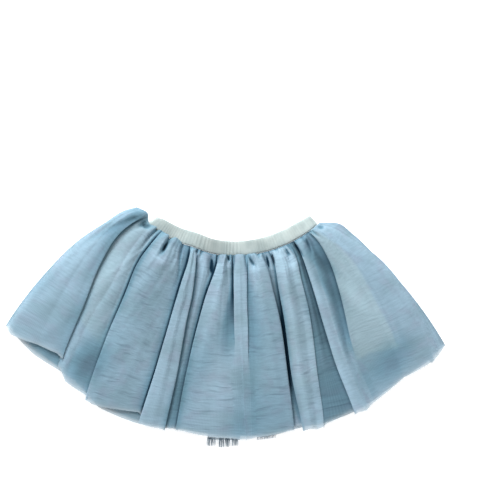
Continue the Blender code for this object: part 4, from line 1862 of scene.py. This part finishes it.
@dataclass
class HemThreads:
    """Short cut ends of the net all along the raw hem."""

    every: int = 2
    longest: float = 3.4
    thick: float = 0.13
    tufts: tuple[tuple[float, float, float], ...] = (
        (-52.0, 0.9, 2.0), (-24.0, 0.8, 2.0), (23.0, 0.9, 2.5), (36.0, 0.6, 2.0), (41.7, 0.5, 4.5),
        (51.2, 0.8, 4.0),
    )

    def build(self, cloth: bpy.types.Object, columns: int, rows: int) -> bpy.types.Object:
        """Makes the ends on the tube's last row.

        Args:
            cloth: the outer tulle.
            columns: points in one of its rows.
            rows: how many rows it has.

        Returns:
            One mesh of threads.
        """
        threads = Strands("hem_threads", segments=2)
        vertices = cloth.data.vertices
        first = (rows - 1) * columns
        for i in range(0, columns, self.every):
            edge = vertices[first + i].co
            inner = vertices[first - columns + i].co
            out = (edge - inner).normalized()
            jitter = noise.noise(Vector((i * 0.77, 2.0, 5.0)))
            other = noise.noise(Vector((i * 1.31, 6.0, 3.0)))
            side = Vector((-out.y, out.x, 0.0))
            reach = (self.longest + self.tuft(edge)) * MM * (0.35 + 0.65 * abs(jitter))
            tip = edge + out * reach + side * reach * other * 0.9
            tip.z = max(tip.z, 0.2 * MM)
            threads.add(edge - out * 0.5 * MM, tip, side * other * 0.3 * MM, self.thick * MM)
        return threads.build()

    def tuft(self, edge: Vector) -> float:
        """Extra length of the ends near a tuft, in millimetres."""
        turn = math.degrees(math.atan2(edge.x / MM - FAN.centre[0], FAN.centre[1] - edge.y / MM))
        return sum(more * math.exp(-(((turn - angle) / wide) ** 2)) for angle, wide, more in self.tufts)


@dataclass
class Studio:
    """White floor, soft light and the camera straight above."""

    pixel: float = 1.35
    side: float = 500.0
    middle: tuple[float, float] = (33.5, 103.7)
    distance: float = 6.0
    sensor: float = 36.0
    floor_size: float = 8.0
    sky: float = 0.40
    finish: PaperFinish = PaperFinish()

    def make(self) -> None:
        """Builds the stage."""
        self.make_floor()
        self.make_lights()
        self.make_camera()

    def make_floor(self) -> None:
        """Lays the floor just under the skirt."""
        bpy.ops.mesh.primitive_grid_add(x_subdivisions=4, y_subdivisions=4, size=self.floor_size)
        floor = bpy.context.object
        floor.name = "floor"
        floor.location = (0.0, 0.0, -0.0002)
        floor.data.materials.append(self.finish.material())

    def make_lights(self) -> None:
        """Adds the sky and two wide lamps."""
        world = bpy.data.worlds.new("studio")
        bpy.context.scene.world = world
        world.use_nodes = True
        background = world.node_tree.nodes["Background"]
        background.inputs["Color"].default_value = (1.0, 1.0, 1.0, 1.0)
        background.inputs["Strength"].default_value = self.sky
        self.lamp("key", (-0.70, 1.45, 1.15), 1.0, 50.0)
        self.lamp("fill", (1.2, -0.9, 1.9), 2.0, 8.0)

    @staticmethod
    def lamp(name: str, place: Point, size: float, power: float) -> None:
        """One square area lamp aimed at the skirt's middle.

        Args:
            name: its name.
            place: where it hangs, in metres.
            size: its side in metres.
            power: its power in watts.
        """
        data = bpy.data.lights.new(name, "AREA")
        data.size = size
        data.energy = power
        lamp = bpy.data.objects.new(name, data)
        lamp.location = place
        lamp.rotation_euler = (-Vector(place)).to_track_quat("-Z", "Y").to_euler()
        bpy.context.scene.collection.objects.link(lamp)

    def make_camera(self) -> None:
        """Looks straight down with the frame's width at the skirt's real scale."""
        data = bpy.data.cameras.new("camera")
        data.sensor_width = self.sensor
        data.lens = self.sensor * self.distance / (self.pixel * self.side * MM)
        data.clip_end = 50.0
        camera = bpy.data.objects.new("camera", data)
        camera.location = (self.middle[0] * MM, self.middle[1] * MM, self.distance)
        bpy.context.scene.collection.objects.link(camera)
        bpy.context.scene.camera = camera
        bpy.context.scene.view_settings.view_transform = "Standard"


def make_outer() -> None:
    """Builds the outer tulle and the threads on its hem."""
    cloth = OUTER.build()
    dress(cloth, OUTER.finish.material(), OUTER.slot, "tulle_outer_front", "tulle_outer_back")
    columns = len(cloth.data.vertices) // OUTER.rows
    threads = HemThreads().build(cloth, columns, OUTER.rows)
    dress(threads, ThreadFinish("hem_thread_ends", light=(0.50, 0.60, 0.68)).material(), OUTER.slot)


def make_under() -> None:
    """Builds the under tulle."""
    cloth = UNDER.build()
    dress(cloth, UNDER.finish.material(), UNDER.slot, "tulle_under_front", "tulle_under_back")


def main() -> None:
    """Builds the stage and every piece, from the surface up."""
    Studio().make()
    make_outer()
    make_under()
    Lining().make()
    FrayedHem().make()
    Waistband().make()


if __name__ == "__main__":
    main()
